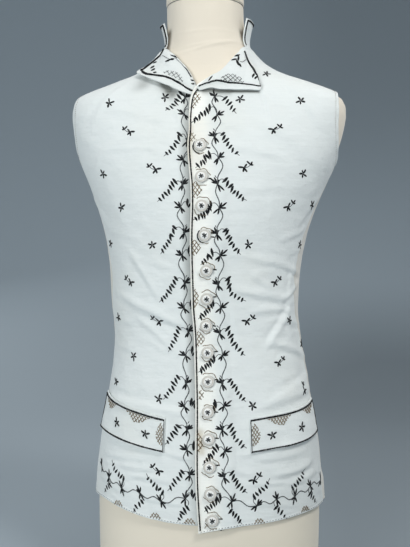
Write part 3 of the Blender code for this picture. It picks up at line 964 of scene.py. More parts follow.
class Stitching:
    """Stitches drawn flat, then laid on a cloth through its chart, all as one mesh."""

    leaf_pitch = 0.62  # between a leaf's stitches
    shortest = 1.5  # a lattice's shortest thread
    stations = rows(  # along, beside and up
        "-0.5 0 0, -0.25 0.5 0, -0.25 0 1, -0.25 -0.5 0, 0.25 0.5 0, 0.25 0 1, 0.25 -0.5 0, 0.5 0 0"
    )
    faces = ((0, 3, 2), (0, 2, 1), (1, 2, 5, 4), (2, 3, 6, 5), (4, 5, 7), (5, 6, 7))

    def __init__(self, seed: int) -> None:
        """Starts an empty drawing, its seed for the hand's small unevenness."""
        self.blocks: list[tuple[Array, Array, int]] = []
        self.hand = np.random.default_rng(seed)

    def lay(
        self, centres: Array, ways: Array, length: Array, width: Array, height: float, thread: Thread
    ) -> None:
        """Straight stitches, each a small raised spindle.

        Args:
            centres: their middles.
            ways: unit directions.
            length: their lengths.
            width: the thread's width as it lies.
            height: how far it stands up.
            thread: which thread.
        """
        count = len(centres)
        length, width = np.broadcast_to(length, count), np.broadcast_to(width, count)
        along, beside, up = self.stations.T
        sides = np.stack((-ways[:, 1], ways[:, 0]), axis=1)
        flat = centres[:, None, :] + ways[:, None, :] * (along * length[:, None])[..., None]
        flat = flat + sides[:, None, :] * (beside * width[:, None])[..., None]
        self.blocks.append((flat, np.broadcast_to(up * height, (count, len(up))), thread.value))

    def leaf(
        self,
        x: float,
        z: float,
        turn: float,
        length: float,
        width: float,
        thread: Thread = Thread.SILK,
        blunt: float = 0.55,
        off: float = 0.0,
    ) -> None:
        """A satin-stitched leaf, its stitches laid across it on the slant.

        Args:
            x: a place, across.
            z: a place, upward.
            turn: the way it points, in degrees.
            length: from foot to tip.
            width: at its widest.
            thread: which thread.
            blunt: lower is blunter.
            off: how far its foot is past the place, the way it points.
        """
        away = math.radians(turn)
        foot = np.array((x + off * math.cos(away), z + off * math.sin(away)))
        turn += self.hand.uniform(-7, 7)
        length *= self.hand.uniform(0.9, 1.1)
        count = max(4, round(length / self.leaf_pitch))
        share = (np.arange(count) + 0.5) / count
        axis = np.array((math.cos(math.radians(turn)), math.sin(math.radians(turn))))
        slant = math.radians(turn + 62)
        way = np.tile((math.cos(slant), math.sin(slant)), (count, 1))
        across = width * np.sin(np.pi * share**1.25) ** blunt + 0.35
        middles = foot + axis * (share * length)[:, None]
        self.lay(middles, way, across, self.leaf_pitch * 1.9, 0.5, thread)

    def line(
        self,
        points: Points,
        pitch: float,
        width: float,
        thread: Thread,
        slant: float = 8.0,
        overlap: float = 1.9,
    ) -> None:
        """Stem stitches along a line.

        Args:
            points: flat places on the line.
            pitch: the step from stitch to stitch, or 0 for one between each two points.
            width: the thread's width.
            thread: which thread.
            slant: the stitches' lean across the line, in degrees.
            overlap: a stitch's length in steps; under 1 leaves gaps.
        """
        path = smooth_path(points, pitch) if pitch else points
        steps = np.diff(path, axis=0)
        turned = np.arctan2(steps[:, 1], steps[:, 0]) + math.radians(slant)
        ways = np.stack((np.cos(turned), np.sin(turned)), axis=1)
        wide = width * self.hand.uniform(0.85, 1.15, len(ways))
        self.lay((path[1:] + path[:-1]) / 2, ways, np.hypot(*steps.T) * overlap, wide, width * 0.6, thread)

    def bound(self, points: Points, width: float) -> None:
        """The dark line inside an edge."""
        self.line(points, 1.5, width, Thread.SILK, 16.0)

    def stem(self, points: Points, width: float = 0.9) -> None:
        """A wandering stem."""
        self.line(points, 1.6, width, Thread.STEM)

    def fan(self, x: float, z: float, turn: float, leaves: Points, blunt: float, off: float = 0.0) -> None:
        """Leaves round a place, each with its turn, length and width."""
        for away, length, width in leaves:
            self.leaf(x, z, turn + away, length, width, blunt=blunt, off=off)

    def star(self, x: float, z: float, cluster: Cluster) -> None:
        """A cluster of pointed leaves on the upright vine.

        Args:
            x: its place, across.
            z: its place, upward.
            cluster: which leaves.
        """
        for turn, length in cluster.value:
            self.leaf(x, z, turn, length * self.hand.uniform(0.85, 1.1), 2.9, blunt=0.6, off=0.6)
        self.leaf(x - 1.6, z + 0.3, -8, 3.4, 2.8)

    def spray(self, path: Points, lean: float, long: float, pitch: float = 5.3) -> None:
        """Slender slanted leaves stepping away from the vine, with a curl at the tip.

        Args:
            path: the leaves' middles.
            lean: the way the leaves point, in degrees.
            long: the first leaf's length.
            pitch: the step between leaves.
        """
        middles = smooth_path(path, pitch)
        for i, (x, z) in enumerate(middles):
            share = i / (len(middles) - 1)
            turn = lean + (10 if i % 2 else -10) + self.hand.uniform(-7, 7)
            length = long * (1 - 0.32 * share) * self.hand.uniform(0.8, 1.12)
            off = -self.hand.uniform(0.38, 0.6) * length
            self.leaf(x, z, turn, length, 4.5 - 0.9 * share, blunt=0.7, off=off)
        tip, step = middles[-1], middles[-1] - middles[-2]
        self.stem([tip + (step * k + (0, up)) for k, up in ((0, 0), (0.6, 0.9), (1.1, 1.0))], 0.8)

    def branch(self, x: float, z: float, path: Array, outward: bool) -> None:
        """A spray on its own short stem.

        Args:
            x: the vine's node, across.
            z: the node, upward.
            path: the leaves' middles.
            outward: whether it steps away from the closing edge.
        """
        first = path[0]
        self.stem(((x, z), ((x + first[0]) / 2, max(z, first[1]) + 1.2), first))
        self.spray(path, *((50, 10.8, 5.3) if outward else (110, 11.8, 4.4)))

    def sprig(self, x: float, z: float, turn: float, stemmed: float) -> None:
        """A little star of leaves, or leaves with a curved side stem.

        Args:
            x: its place, across.
            z: its place, upward.
            turn: the way it is turned, in degrees.
            stemmed: 1 where it has a side stem, otherwise 0.
        """
        if not stemmed:
            star = ((0, 6.4, 3.2), (64, 4.6, 2.6), (138, 6.2, 3.0), (205, 4.8, 3.2), (284, 6.0, 2.8))
            self.fan(x, z, turn, star, 0.42, 0.7)
            return
        foot = ((166, 7.4, 3.2), (34, 6.6, 2.8), (-66, 6.2, 3.2), (-118, 6.4, 3.0))
        self.fan(x, z, turn * 0.35, foot, 0.42)
        lean = math.radians(turn * 0.5)
        tip = x + 9.6 * math.cos(lean), z + 9.6 * math.sin(lean) * 0.5 + 2.6
        self.line(((x, z), ((x + tip[0]) / 2, z + 0.6), tip), 1.4, 0.9, Thread.STEM)
        self.fan(*tip, 0, ((128, 6.4, 2.8), (58, 5.4, 2.8), (-6, 4.0, 2.4)), 0.45)

    def lattice(
        self,
        outline: Points,
        spacing: float = 4.4,
        leans: tuple[float, float] = (54.0, 126.0),
        width: float = 1.3,
        thread: Thread = Thread.TAN,
    ) -> None:
        """Crossed threads within an outline.

        Args:
            outline: the patch's flat corners.
            spacing: the step between threads.
            leans: the threads' two ways, in degrees.
            width: the thread's width.
            thread: which thread.
        """
        corners = np.array(outline, float)
        sides, centre = np.roll(corners, -1, axis=0) - corners, corners.mean(axis=0)
        reach = int(np.linalg.norm(corners - centre, axis=1).max() / spacing) + 1
        for turn in np.radians(leans):
            way = np.array((math.cos(turn), math.sin(turn)))
            aside = np.array((-way[1], way[0]))
            cross = way[0] * sides[:, 1] - way[1] * sides[:, 0]
            cross = np.where(np.abs(cross) > 1e-9, cross, np.nan)
            for k in range(-reach, reach + 1):
                start = centre + aside * k * spacing
                gap = corners - start
                share = (gap[:, 0] * way[1] - gap[:, 1] * way[0]) / cross
                met = (share >= 0) & (share < 1)
                cuts = np.sort(((gap[:, 0] * sides[:, 1] - gap[:, 1] * sides[:, 0]) / cross)[met])
                for low, high in zip(cuts[::2], cuts[1::2]):
                    if high - low > self.shortest:
                        self.line((start + way * low, start + way * high), 2.0, width, thread, 0.0, 1.15)

    def lay_on(self, name: str, chart: Offset, palette: Sequence[Material]) -> Object:
        """All stitches as one mesh on the cloth.

        Args:
            name: the piece's name.
            chart: flat places and lifts to points in space.
            palette: the threads' materials.

        Returns:
            The object.
        """
        flats, lifts, threads = zip(*self.blocks)
        points = chart(np.concatenate([flat.reshape(-1, 2) for flat in flats]), np.concatenate(lifts).ravel())
        size = len(self.stations)
        stitch = points.reshape(-1, size, 3)
        facing = np.cross(stitch[:, 2] - stitch[:, 1], stitch[:, 5] - stitch[:, 1])
        upward = stitch[:, 2] - (stitch[:, 1] + stitch[:, 3]) / 2
        faces = []
        for i, back in enumerate((np.einsum("ij,ij->i", facing, upward) < 0).tolist()):
            faces += [tuple(k + i * size for k in (face[::-1] if back else face)) for face in self.faces]
        made = add_mesh(name, points, faces, palette)
        slots = np.repeat(threads, [len(flat) * len(self.faces) for flat in flats])
        made.data.polygons.foreach_set("material_index", slots.tolist())
        return made


# ---------------------------------------------------------------- panels
def hem_raised(degrees: Array, row: Array) -> Array:
    """Form rows lifted near the hem, which rises unevenly to the sides.

    Args:
        degrees: angles round the form.
        row: fractional section rows.

    Returns:
        The lifted rows.
    """
    height = FORM.height(row)
    lift = HEM_RISE.read("lift", "degrees", from_front(degrees))
    return FORM.row(height + lift * (1 - ease_in((height - 146) / 130)))


def along(edge: Curve, v: Array) -> tuple[Array, Array]:
    """Degrees and fractional form rows at shares of an edge's table."""
    at = edge.row("v", v)
    return edge.at("degrees", at), FORM.row(edge.at("height", at))


def seam_back(degrees: Array, row: Array, away: float) -> Array:
    """Degrees moved half a seam's gap round the form."""
    return degrees + away * np.degrees(SEAM_GAP / 2 / FORM.sections.at("half_width", row))


def coons(u: Array, v: Array, left: tuple, right: tuple, bottom: tuple, top: tuple) -> list[Array]:
    """Places inside a panel from its four edges, each a pair of degrees and rows.

    Args:
        u: shares across, one for each column.
        v: shares up, one for each row.
        left: the left edge, a place for each v.
        right: the right edge, the same.
        bottom: the bottom edge, a place for each u.
        top: the top edge, the same.

    Returns:
        Degrees and form rows, rows by columns.
    """
    found = []
    for k in (0, 1):
        across = left[k][:, None] * (1 - u) + right[k][:, None] * u
        upright = bottom[k][None, :] * (1 - v[:, None]) + top[k][None, :] * v[:, None]
        low = left[k][0] * (1 - u) + right[k][0] * u
        high = left[k][-1] * (1 - u) + right[k][-1] * u
        found.append(across + upright - (low * (1 - v[:, None]) + high * v[:, None]))
    return found


def smudged(streaks: Array, degrees: Array, height: Array) -> Array:
    """How strong soft streaks are at places on a cloth.

    Args:
        streaks: from and to places, breadth and strength of each.
        degrees: angles round the form.
        height: heights.

    Returns:
        The strengths.
    """
    found = 0.0 * height
    for start, foot, end, head, breadth, strength in streaks:
        x, y, run, rise = (degrees - start) * 1.9, height - foot, (end - start) * 1.9, head - foot
        share = np.clip((x * run + y * rise) / (run**2 + rise**2), 0, 1)
        found = found + strength * bell(np.hypot(x - share * run, y - share * rise) / breadth)
    return found


@dataclass
class Piece:
    """A cut piece of cloth and its sewing."""

    node: str  # the solid that it stands for
    name: str
    side: int  # 1 on the wearer's left, -1 on the right
    cut: tuple[float, float, float]  # width and length in metres, area in square metres
    seed: int  # of its embroidery

    def cloth(self, outer: Array, inner: Array, material: Material, **washes: Array) -> Object:
        """The piece's shell from the grids of its two faces.

        Args:
            outer: the outer face.
            inner: the inner face.
            material: the cloth.
            washes: numbers over the outer face.

        Returns:
            The object.
        """
        quads = grid_quads(*outer.shape[:2])
        outer, inner = (grid[:, :: self.side].reshape(-1, 3) for grid in (outer, inner))
        washes = {wash: grid[:, :: self.side].ravel() for wash, grid in washes.items()}
        return dress(shell(self.name, outer, inner, quads, material, **washes), self.node, "cotton")

    def sewn(self, work: Stitching, palette: Sequence[Material]) -> Object:
        """The piece's embroidery."""
        return dress(work.lay_on(f"{self.name}_embroidery", self.chart, palette), "", "cotton")


@dataclass
class Front(Piece):
    """One front: its shell, warm placket, stains, painted shade, embroidery and edge stitching."""

    edge: Curve  # all of the inner edge, up to the shoulder
    closing: Curve  # its part below the lapel
    hem: Curve
    inner: Offset  # how the inner face lies
    nodes: Array  # x and z of each leaf cluster down the vine
    outward: Array  # three places of each spray, as the next
    inward: Array
    hem_nodes: Array  # x, z, turn, upper and lower spray's size
    sprigs: Array  # x, z, turn, side stem
    lenses: Array  # foot, widest place and head of each lattice
    hem_nets: Points  # the middles of the lattices at the hem
    stains: Array  # from degrees and height, to degrees and height, breadth, strength, as the next
    # the same columns, for streaks of painted shade: shadow under the lapels and shade over a hip
    painted_shades: Array
    armhole: float  # by how many degrees its edge stands further out
    length: float = 690
    breadth: float = 262
    pitch: float = 3.1
    step_up: float = 4.0  # of the flat chart, as the next
    step_across: float = 2.0
    first_turn: int = -24  # its first angle, in degrees

    def __post_init__(self) -> None:
        """Measures the cloth round the body at each height."""
        self.heights = np.arange(112.0, 836.0, self.step_up)
        self.turns = np.arange(self.first_turn, 116.0, 1.0)
        self.across = np.arange(-30.0, 330.0, self.step_across)
        start = self.closing.read("degrees", "height", self.heights)
        degrees = start[:, None] + self.side * self.turns[None, :]
        height = np.repeat(self.heights[:, None], len(self.turns), axis=1)
        points = FORM.lay(degrees, FORM.row(height), self.inner(degrees, height) + CLOTH)
        steps = np.linalg.norm(np.diff(points, axis=1), axis=2)
        travelled = np.concatenate((np.zeros((len(start), 1)), np.cumsum(steps, axis=1)), axis=1)
        self.travelled = travelled - travelled[:, [-self.first_turn]]
        self.table = np.array([np.interp(self.across, row, self.turns) for row in self.travelled])

    def chart(self, flat: Array, lift: Array) -> Array:
        """Points over the front, x across from its closing edge and z up.

        Args:
            flat: flat places.
            lift: how far out from the cloth.

        Returns:
            The points.
        """
        x, z = flat.T
        i = np.clip((z - self.heights[0]) / self.step_up, 0, len(self.heights) - 1.001)
        j = np.clip((x - self.across[0]) / self.step_across, 0, len(self.across) - 1.001)
        low, left = i.astype(int), j.astype(int)
        t, s = i - low, j - left
        bottom, top = (self.table[k, left] * (1 - s) + self.table[k, left + 1] * s for k in (low, low + 1))
        degrees = self.closing.read("degrees", "height", z) + self.side * (bottom * (1 - t) + top * t)
        return FORM.lay(degrees, FORM.row(z), self.inner(degrees, z) + CLOTH + THREAD_LIFT + lift)

    def flat(self, degrees: Array, height: Array) -> Array:
        """The flat places of angles round the form and heights.

        Args:
            degrees: angles round the form.
            height: heights.

        Returns:
            The flat places.
        """
        low = np.clip(((height - self.heights[0]) / self.step_up).astype(int), 0, len(self.heights) - 1)
        turn = self.side * (degrees - self.closing.read("degrees", "height", height))
        x = [np.interp(t, self.turns, self.travelled[i]) for t, i in zip(turn, low)]
        return np.stack((x, height), axis=1)

    def reach(self, v: Array) -> Array:
        """Degrees by which the armhole's edge stands further out than its table says."""
        return self.armhole * np.sin(np.pi * np.clip((v - 0.72) / 0.26, 0, 1))

    def places(self, u: Array, v: Array) -> tuple[Array, Array]:
        """The degrees and form rows of the panel's grid, at shares across and up.

        Args:
            u: shares across.
            v: shares up.

        Returns:
            Degrees and form rows.
        """
        side_degrees, side_rows = along(SIDE_FRONT, v)
        outer = self.side * seam_back(side_degrees + self.reach(v), side_rows, -1), side_rows
        inner_degrees, inner_rows = along(self.edge, v)
        pulled = self.side * seam_back(np.abs(inner_degrees), inner_rows, -1)
        inner = np.where(v > 0.97, pulled, inner_degrees), inner_rows
        bottom = inner[0][0] + (outer[0][0] - inner[0][0]) * u, FORM.row(self.hem.read("height", "u", u))
        top = tuple(inner[k][-1] + (outer[k][-1] - inner[k][-1]) * u for k in (0, 1))
        degrees, row = coons(u, v, inner, outer, bottom, top)
        return degrees, hem_raised(degrees, row)

    def build(self, material: Material) -> Object:
        """The panel's shell, with its turned edges and drawn seams, a warm placket, stains and painted shade.

        Args:
            material: the cloth.

        Returns:
            The object.
        """
        v = spread(self.length, self.pitch)
        degrees, row = self.places(spread(self.breadth, self.pitch), v)
        height = FORM.height(row)
        base = self.inner(degrees, height)
        plain = FORM.lay(degrees, row, base + CLOTH)
        armhole = v >= UNDERARM
        lift = trim(plain, (plain[:, 0], plain[0], plain[armhole, -1]), (plain[~armhole, -1], plain[-1]))
        from_edge = self.side * (degrees - self.closing.read("degrees", "height", height)) * PER_DEGREE
        warmth = 0.9 * (1 - ease_in((from_edge - 16) / 24)) * (self.side > 0)
        handled = 0.22 * (1 - ease_in((from_edge - 2.5) / 6)) * (self.side > 0)
        stain = smudged(self.stains, degrees, height) + handled
        # painted shade streaks: the lapels' shadows, and less light over the left front's hip
        shade = smudged(self.painted_shades, degrees, height)
        # the right front: painted shade in a strip beside the left front's overlapping edge, that edge's shadow
        if self.side < 0:
            beside = (LEFT_CLOSING.read("degrees", "height", height) - degrees) * PER_DEGREE
            covered = (1 - ease_in((beside - 2) / 13)) * (0.28 + 0.27 * ease_in((height - 200) / 200))
            shade = np.clip(shade + covered, 0, 1)
        outer, inner = FORM.lay(degrees, row, base + CLOTH + lift), FORM.lay(degrees, row, base)
        return self.cloth(outer, inner, material, warmth=warmth, stain=stain, shade=shade)

    def embroider(self, palette: Sequence[Material]) -> Object:
        """All the stitching on the panel.

        Args:
            palette: the threads' materials.

        Returns:
            The object.
        """
        work = Stitching(self.seed)
        self.upright(work)
        self.along_hem(work)
        for motif in self.sprigs:
            work.sprig(*motif)
        for lens in self.lenses:
            work.lattice(smooth_path(lens, 4.0))
        for x, z in self.hem_nets:
            work.lattice(((x - 9, z - 4), (x + 9, z - 3), (x + 4, z + 4), (x - 4, z + 4)), 3.6)
        self.edging(work)
        if self.side > 0:
            self.buttonholes(work)
        return self.sewn(work, palette)

    def upright(self, work: Stitching) -> None:
        """The vine beside the closing edge, its clusters turned in and out by turns.

        Args:
            work: the drawing to stitch on.
        """
        points = []
        stops = (*self.nodes, self.hem_nodes[0][:2])
        for i, ((x, z), below) in enumerate(zip(stops, stops[1:])):
            fall, inner = z - below[1], i % 2 == 0
            points.append((x, z))
            points.append((x - 3.0, z - 0.34 * fall) if inner else (x + 4.6, z - 0.32 * fall))
            points.append(((x + 2 * below[0]) / 3, z - 0.72 * fall))
            work.star(x, z, Cluster.INNER if inner else Cluster.OUTER)
            work.branch(x, z, (self.outward if inner else self.inward)[i // 2], inner)
            if inner:
                work.leaf(x - 0.5, z + 8, 128, 3.6, 1.0, Thread.STEM)
        work.stem((*points, stops[-1]), 1.35)

    def along_hem(self, work: Stitching) -> None:
        """The vine along the hem, from the front corner to the side, with its sprays above and below.

        Args:
            work: the drawing to stitch on.
        """
        foot = before = self.hem_nodes[0][:2]
        points = [foot]
        for i, (x, z, turn, rise, drop) in enumerate(self.hem_nodes):
            if i:
                points.append(((2 * before[0] + x) / 3, (2 * before[1] + z) / 3 + 2.6))
                points.append(((before[0] + 2 * x) / 3, (before[1] + 2 * z) / 3 - 3.2))
            points.append((x, z))
            before = (x, z)
            for away, length in Cluster.HEM.value:
                work.leaf(x, z, turn + away, length, 2.9, blunt=0.6)
            work.leaf(x - 1.6, z, 0, 3.4, 2.8)
            if rise:
                work.stem(((x, z), (x - 4.5, z + 5), (x - 3.4, z + 11)))
                work.spray((x, z) + rows("-3 12, 2 16.4, 7.4 20, 12.8 24.2, 17 30"), -62, 9.6)
            if drop:
                work.stem(((x, z), (x - 4.5, z - 4), (x - 4, z - 9)))
                work.spray((x, z) + rows("-2.8 -12, 2.4 -15.6, 6.8 -19.8, 9.8 -24.4") * (1, drop), 50, 9.6)
        work.branch(*foot, self.inward[-1], False)
        work.stem(points, 1.35)

    def edging(self, work: Stitching) -> None:
        """Dark stem stitch inside the closing edge, and running stitches at the hem and armhole.

        Args:
            work: the drawing to stitch on.
        """
        closing = [(2.7, z) for z in np.arange(136, 706, 12.0)]
        if self.side > 0:
            closing += [(2.7, 716), (2.9, 728), (4.0, 737), (6.8, 744), (11.5, 748.5), (18, 751)]
        work.bound(closing, 2.1)
        share = np.linspace(0.012, 0.985, 60)
        side = along(SIDE_FRONT, np.array([0.0]))[0][0] * self.side
        start = float(self.closing.columns["degrees"][0])
        turns = start + (side - start) * share
        work.line(self.above_hem(turns, share), 4.3, 1.0, Thread.STEM, 0.0, 0.66)
        v = np.linspace(UNDERARM + 0.01, 0.985, 40)
        rim_degrees = self.side * (SIDE_FRONT.read("degrees", "v", v) + self.reach(v))
        rim = self.flat(rim_degrees, SIDE_FRONT.read("height", "v", v))
        steps = np.gradient(rim, axis=0)
        inset = rim + 7.5 * np.stack((-steps[:, 1], steps[:, 0]), axis=1) / np.hypot(*steps.T)[:, None]
        work.line(inset, 3.0, 0.7, Thread.TAN, 0.0, 0.5)

    def above_hem(self, turns: Array, share: Array) -> Array:
        """Flat places just above the hem, at degrees and shares across.

        Args:
            turns: angles round the form.
            share: shares across.

        Returns:
            The flat places.
        """
        row = FORM.row(self.hem.read("height", "u", share))
        hem = self.flat(turns, FORM.height(hem_raised(turns, row)))
        hem[:, 1] += 1.8
        return hem

    def buttonholes(self, work: Stitching) -> None:
        """A worked slit beside each button, its dark bar, the fine arcs stitched round, and dark arcs laid as painted
        shadow.

        Args:
            work: the drawing to stitch on.
        """
        for number, button in enumerate(BUTTONS):
            x, z = self.flat(button[:1], button[1:])[0]
            end = z + (-2.4 if number < 4 else 0.6 + 1.1 * (number % 3))
            work.line(((x - 3, z + 0.4), (x + 8.8, end)), 0.8, 2.0, Thread.WHITE, 84.0, 2.4)
            work.leaf(x + 9.2, end, -14 + 9 * (number % 3), 4.6, 2.2, blunt=0.35)
            # dark silk arcs at the lower left of buttons 1 and 4: the buttons' cast shadow, painted as stitches
            if number in (0, 3):
                turns = np.radians(np.linspace(135, 262, 20))
                arc = np.stack((x + 9.9 * np.cos(turns), z - 0.8 + 9.9 * np.sin(turns)), axis=1)
                work.line(arc, 1.5, 1.7, Thread.SILK, 14.0, 1.6)
            for low, high in ((12, 128), (198 + 9 * (number % 2), 296)):
                turns = np.radians(np.linspace(low, high, 16))
                wavy = 10.6 + 1.0 * (number % 3) + 0.8 * np.sin(turns * 6 + number)
                arc = np.stack((x + 0.8 + wavy * np.cos(turns), z - 0.6 + wavy * np.sin(turns)), axis=1)
                work.line(arc, 1.9, 1.15, Thread.TAN, 8.0, 1.2)


def neckline(degrees: Array) -> Array:
    """The height of the panels' neck edge round the neck, from one break to the other.

    Args:
        degrees: angles round the form.

    Returns:
        The heights.
    """
    turn = np.abs(from_front(degrees))
    start, low = 57.0, 818.0
    front = low + (NECK_POINT - low) * (turn - start) / (90 - start)
    back = NECK_POINT + (BACK_NECK - NECK_POINT) * np.sin(np.radians(np.clip(turn - 90, 0, 90)))
    return np.where(turn < 90, front, back)


@dataclass
class Back:
    """The plain back, one piece of linen joined from two drawn halves."""

    cut: tuple[float, float, float] = (0.53, 0.70, 0.32)
    length: float = 690
    breadth: float = 250  # of a half
    pitch: float = 3.6

    def half(self, u: Array, v: Array) -> list[Array]:
        """The degrees and form rows of the half on the wearer's left, at shares across and up.

        Args:
            u: shares across.
            v: shares up.

        Returns:
            Degrees and form rows.
        """
        side_degrees, side_rows = along(SIDE_BACK, v)
        outer = seam_back(side_degrees, side_rows, 1), side_rows
        turn = 180 - 90 * np.clip((v - NAPE) / (1 - NAPE), 0, 1)
        centre = np.minimum(v, NAPE) / NAPE
        height = np.where(v > NAPE, neckline(turn), BACK_HEM + (BACK_NECK - BACK_HEM) * centre)
        inner = turn, FORM.row(height)
        turn[-1] = seam_back(turn[-1:], inner[1][-1:], 1)[0]
        bottom, top = (tuple(outer[k][i] + (inner[k][i] - outer[k][i]) * u for k in (0, 1)) for i in (0, -1))
        return coons(u, v, outer, inner, bottom, top)

    def build(self, material: Material) -> Object:
        """Both halves as one shell.

        Args:
            material: the cloth.

        Returns:
            The object.
        """
        u, v = spread(self.breadth, self.pitch), spread(self.length, self.pitch)
        v[int(np.argmin(np.abs(v - NAPE)))] = NAPE
        degrees, row = self.half(u, v)
        count, columns = len(v), len(u)
        degrees = np.concatenate((degrees, 360 - degrees))
        row = hem_raised(degrees, np.concatenate((row, row)))
        base = under(degrees, FORM.height(row))
        plain = FORM.lay(degrees, row, base + CLOTH)
        free, seams = [], []
        for part in (plain[:count], plain[count:]):
            free += [part[0], part[v >= UNDERARM, 0], part[v >= NAPE, -1]]
            seams += [part[v < UNDERARM, 0], part[-1]]
        outer = FORM.lay(degrees, row, base + CLOTH + trim(plain, free, seams)).reshape(-1, 3)
        inner = FORM.lay(degrees, row, base).reshape(-1, 3)
        mirrored = grid_quads(count, columns, count * columns)[:, ::-1]
        quads = np.concatenate((grid_quads(count, columns), mirrored))
        shared = (np.arange(count) * columns + columns - 1)[v <= NAPE + 1e-9]
        number = np.arange(len(outer))
        number[shared + count * columns] = shared
        return dress(shell("back_panel", outer, inner, number[quads], material), "back", "back_linen")


@dataclass
class Collar(Piece):
    """The standing collar, open at the front, with dark stitching along its edges."""

    opening: float = 65.0  # degrees from the centre front to each end
    top: float = 863.0
    half_width: float = 67.4
    front: float = 62.0
    back: float = 60.0
    length: float = 270
    stand: float = 42

    def surface(self, turn: Array, rise: Array) -> Array:
        """Points of the inner face at shares round and up.

        Args:
            turn: shares round.
            rise: shares up.

        Returns:
            The points.
        """
        degrees = self.opening + (360 - 2 * self.opening) * turn
        angle = np.radians(degrees)
        room = EASE.read("room", "height", np.array([BACK_NECK]))[0] + 0.2
        foot = FORM.lay(degrees, FORM.row(neckline(degrees) + 2.8), np.full(degrees.shape, room))
        depth = np.where(np.cos(angle) > 0, self.front, self.back)
        reach = 1 / np.hypot(np.sin(angle) / self.half_width, np.cos(angle) / depth)
        level = self.top - 4.5 * ease_in((turn - 0.75) / 0.25)
        top = np.stack((reach * np.sin(angle) - 1.2, -3.0 - reach * np.cos(angle), level), axis=-1)
        roll = -6.2 * np.sin(np.pi * np.abs(rise) ** 0.55) + 0.25 * np.sin(turn * 61.0) * rise
        out = np.stack((np.sin(angle), -np.cos(angle), 0 * angle), axis=-1)
        return foot + (top - foot) * rise[..., None] + out * roll[..., None]

    def build(self, material: Material) -> Object:
        """The collar's shell.

        Args:
            material: the cloth.

        Returns:
            The object.
        """
        turn, rise = np.meshgrid(spread(self.length, 3.0), spread(self.stand, 1.8, 0.8))
        inner = self.surface(turn, rise)
        facing = unit(np.cross(np.gradient(inner, axis=1), np.gradient(inner, axis=0)))
        plain = inner + facing * CLOTH
        lift = trim(plain, (plain[:, 0], plain[:, -1], plain[-1]), (plain[0],), 2.6)
        return self.cloth(plain + facing * lift[..., None], inner, material)

    def chart(self, flat: Array, lift: Array) -> Array:
        """Points over the outer face, x round and z up in millimetres.

        Args:
            flat: flat places.
            lift: how far out from the cloth.

        Returns:
            The points.
        """
        turn, rise = flat[:, 0] / self.length, flat[:, 1] / self.stand
        round_it = self.surface(turn + 0.004, rise) - self.surface(turn - 0.004, rise)
        up = self.surface(turn, rise + 0.02) - self.surface(turn, rise - 0.02)
        over_it = (CLOTH + RAISED_LIFT + lift)[:, None]
        return self.surface(turn, rise) + unit(np.cross(round_it, up)) * over_it

    def embroider(self, palette: Sequence[Material]) -> Object:
        """The dark line inside the collar's free edges.

        Args:
            palette: the threads' materials.

        Returns:
            The object.
        """
        work = Stitching(self.seed)
        start = [(2.6, 2), (2.6, 20), (2.6, 38), (4.6, 39.8)]
        work.bound(start + [(x, 40.0) for x in np.linspace(16, 254, 16)], 2.3)
        work.bound([(252, 40.0), (265.4, 39.8), (267.4, 38), (267.4, 20), (267.4, 2)], 3.0)
        return self.sewn(work, palette)


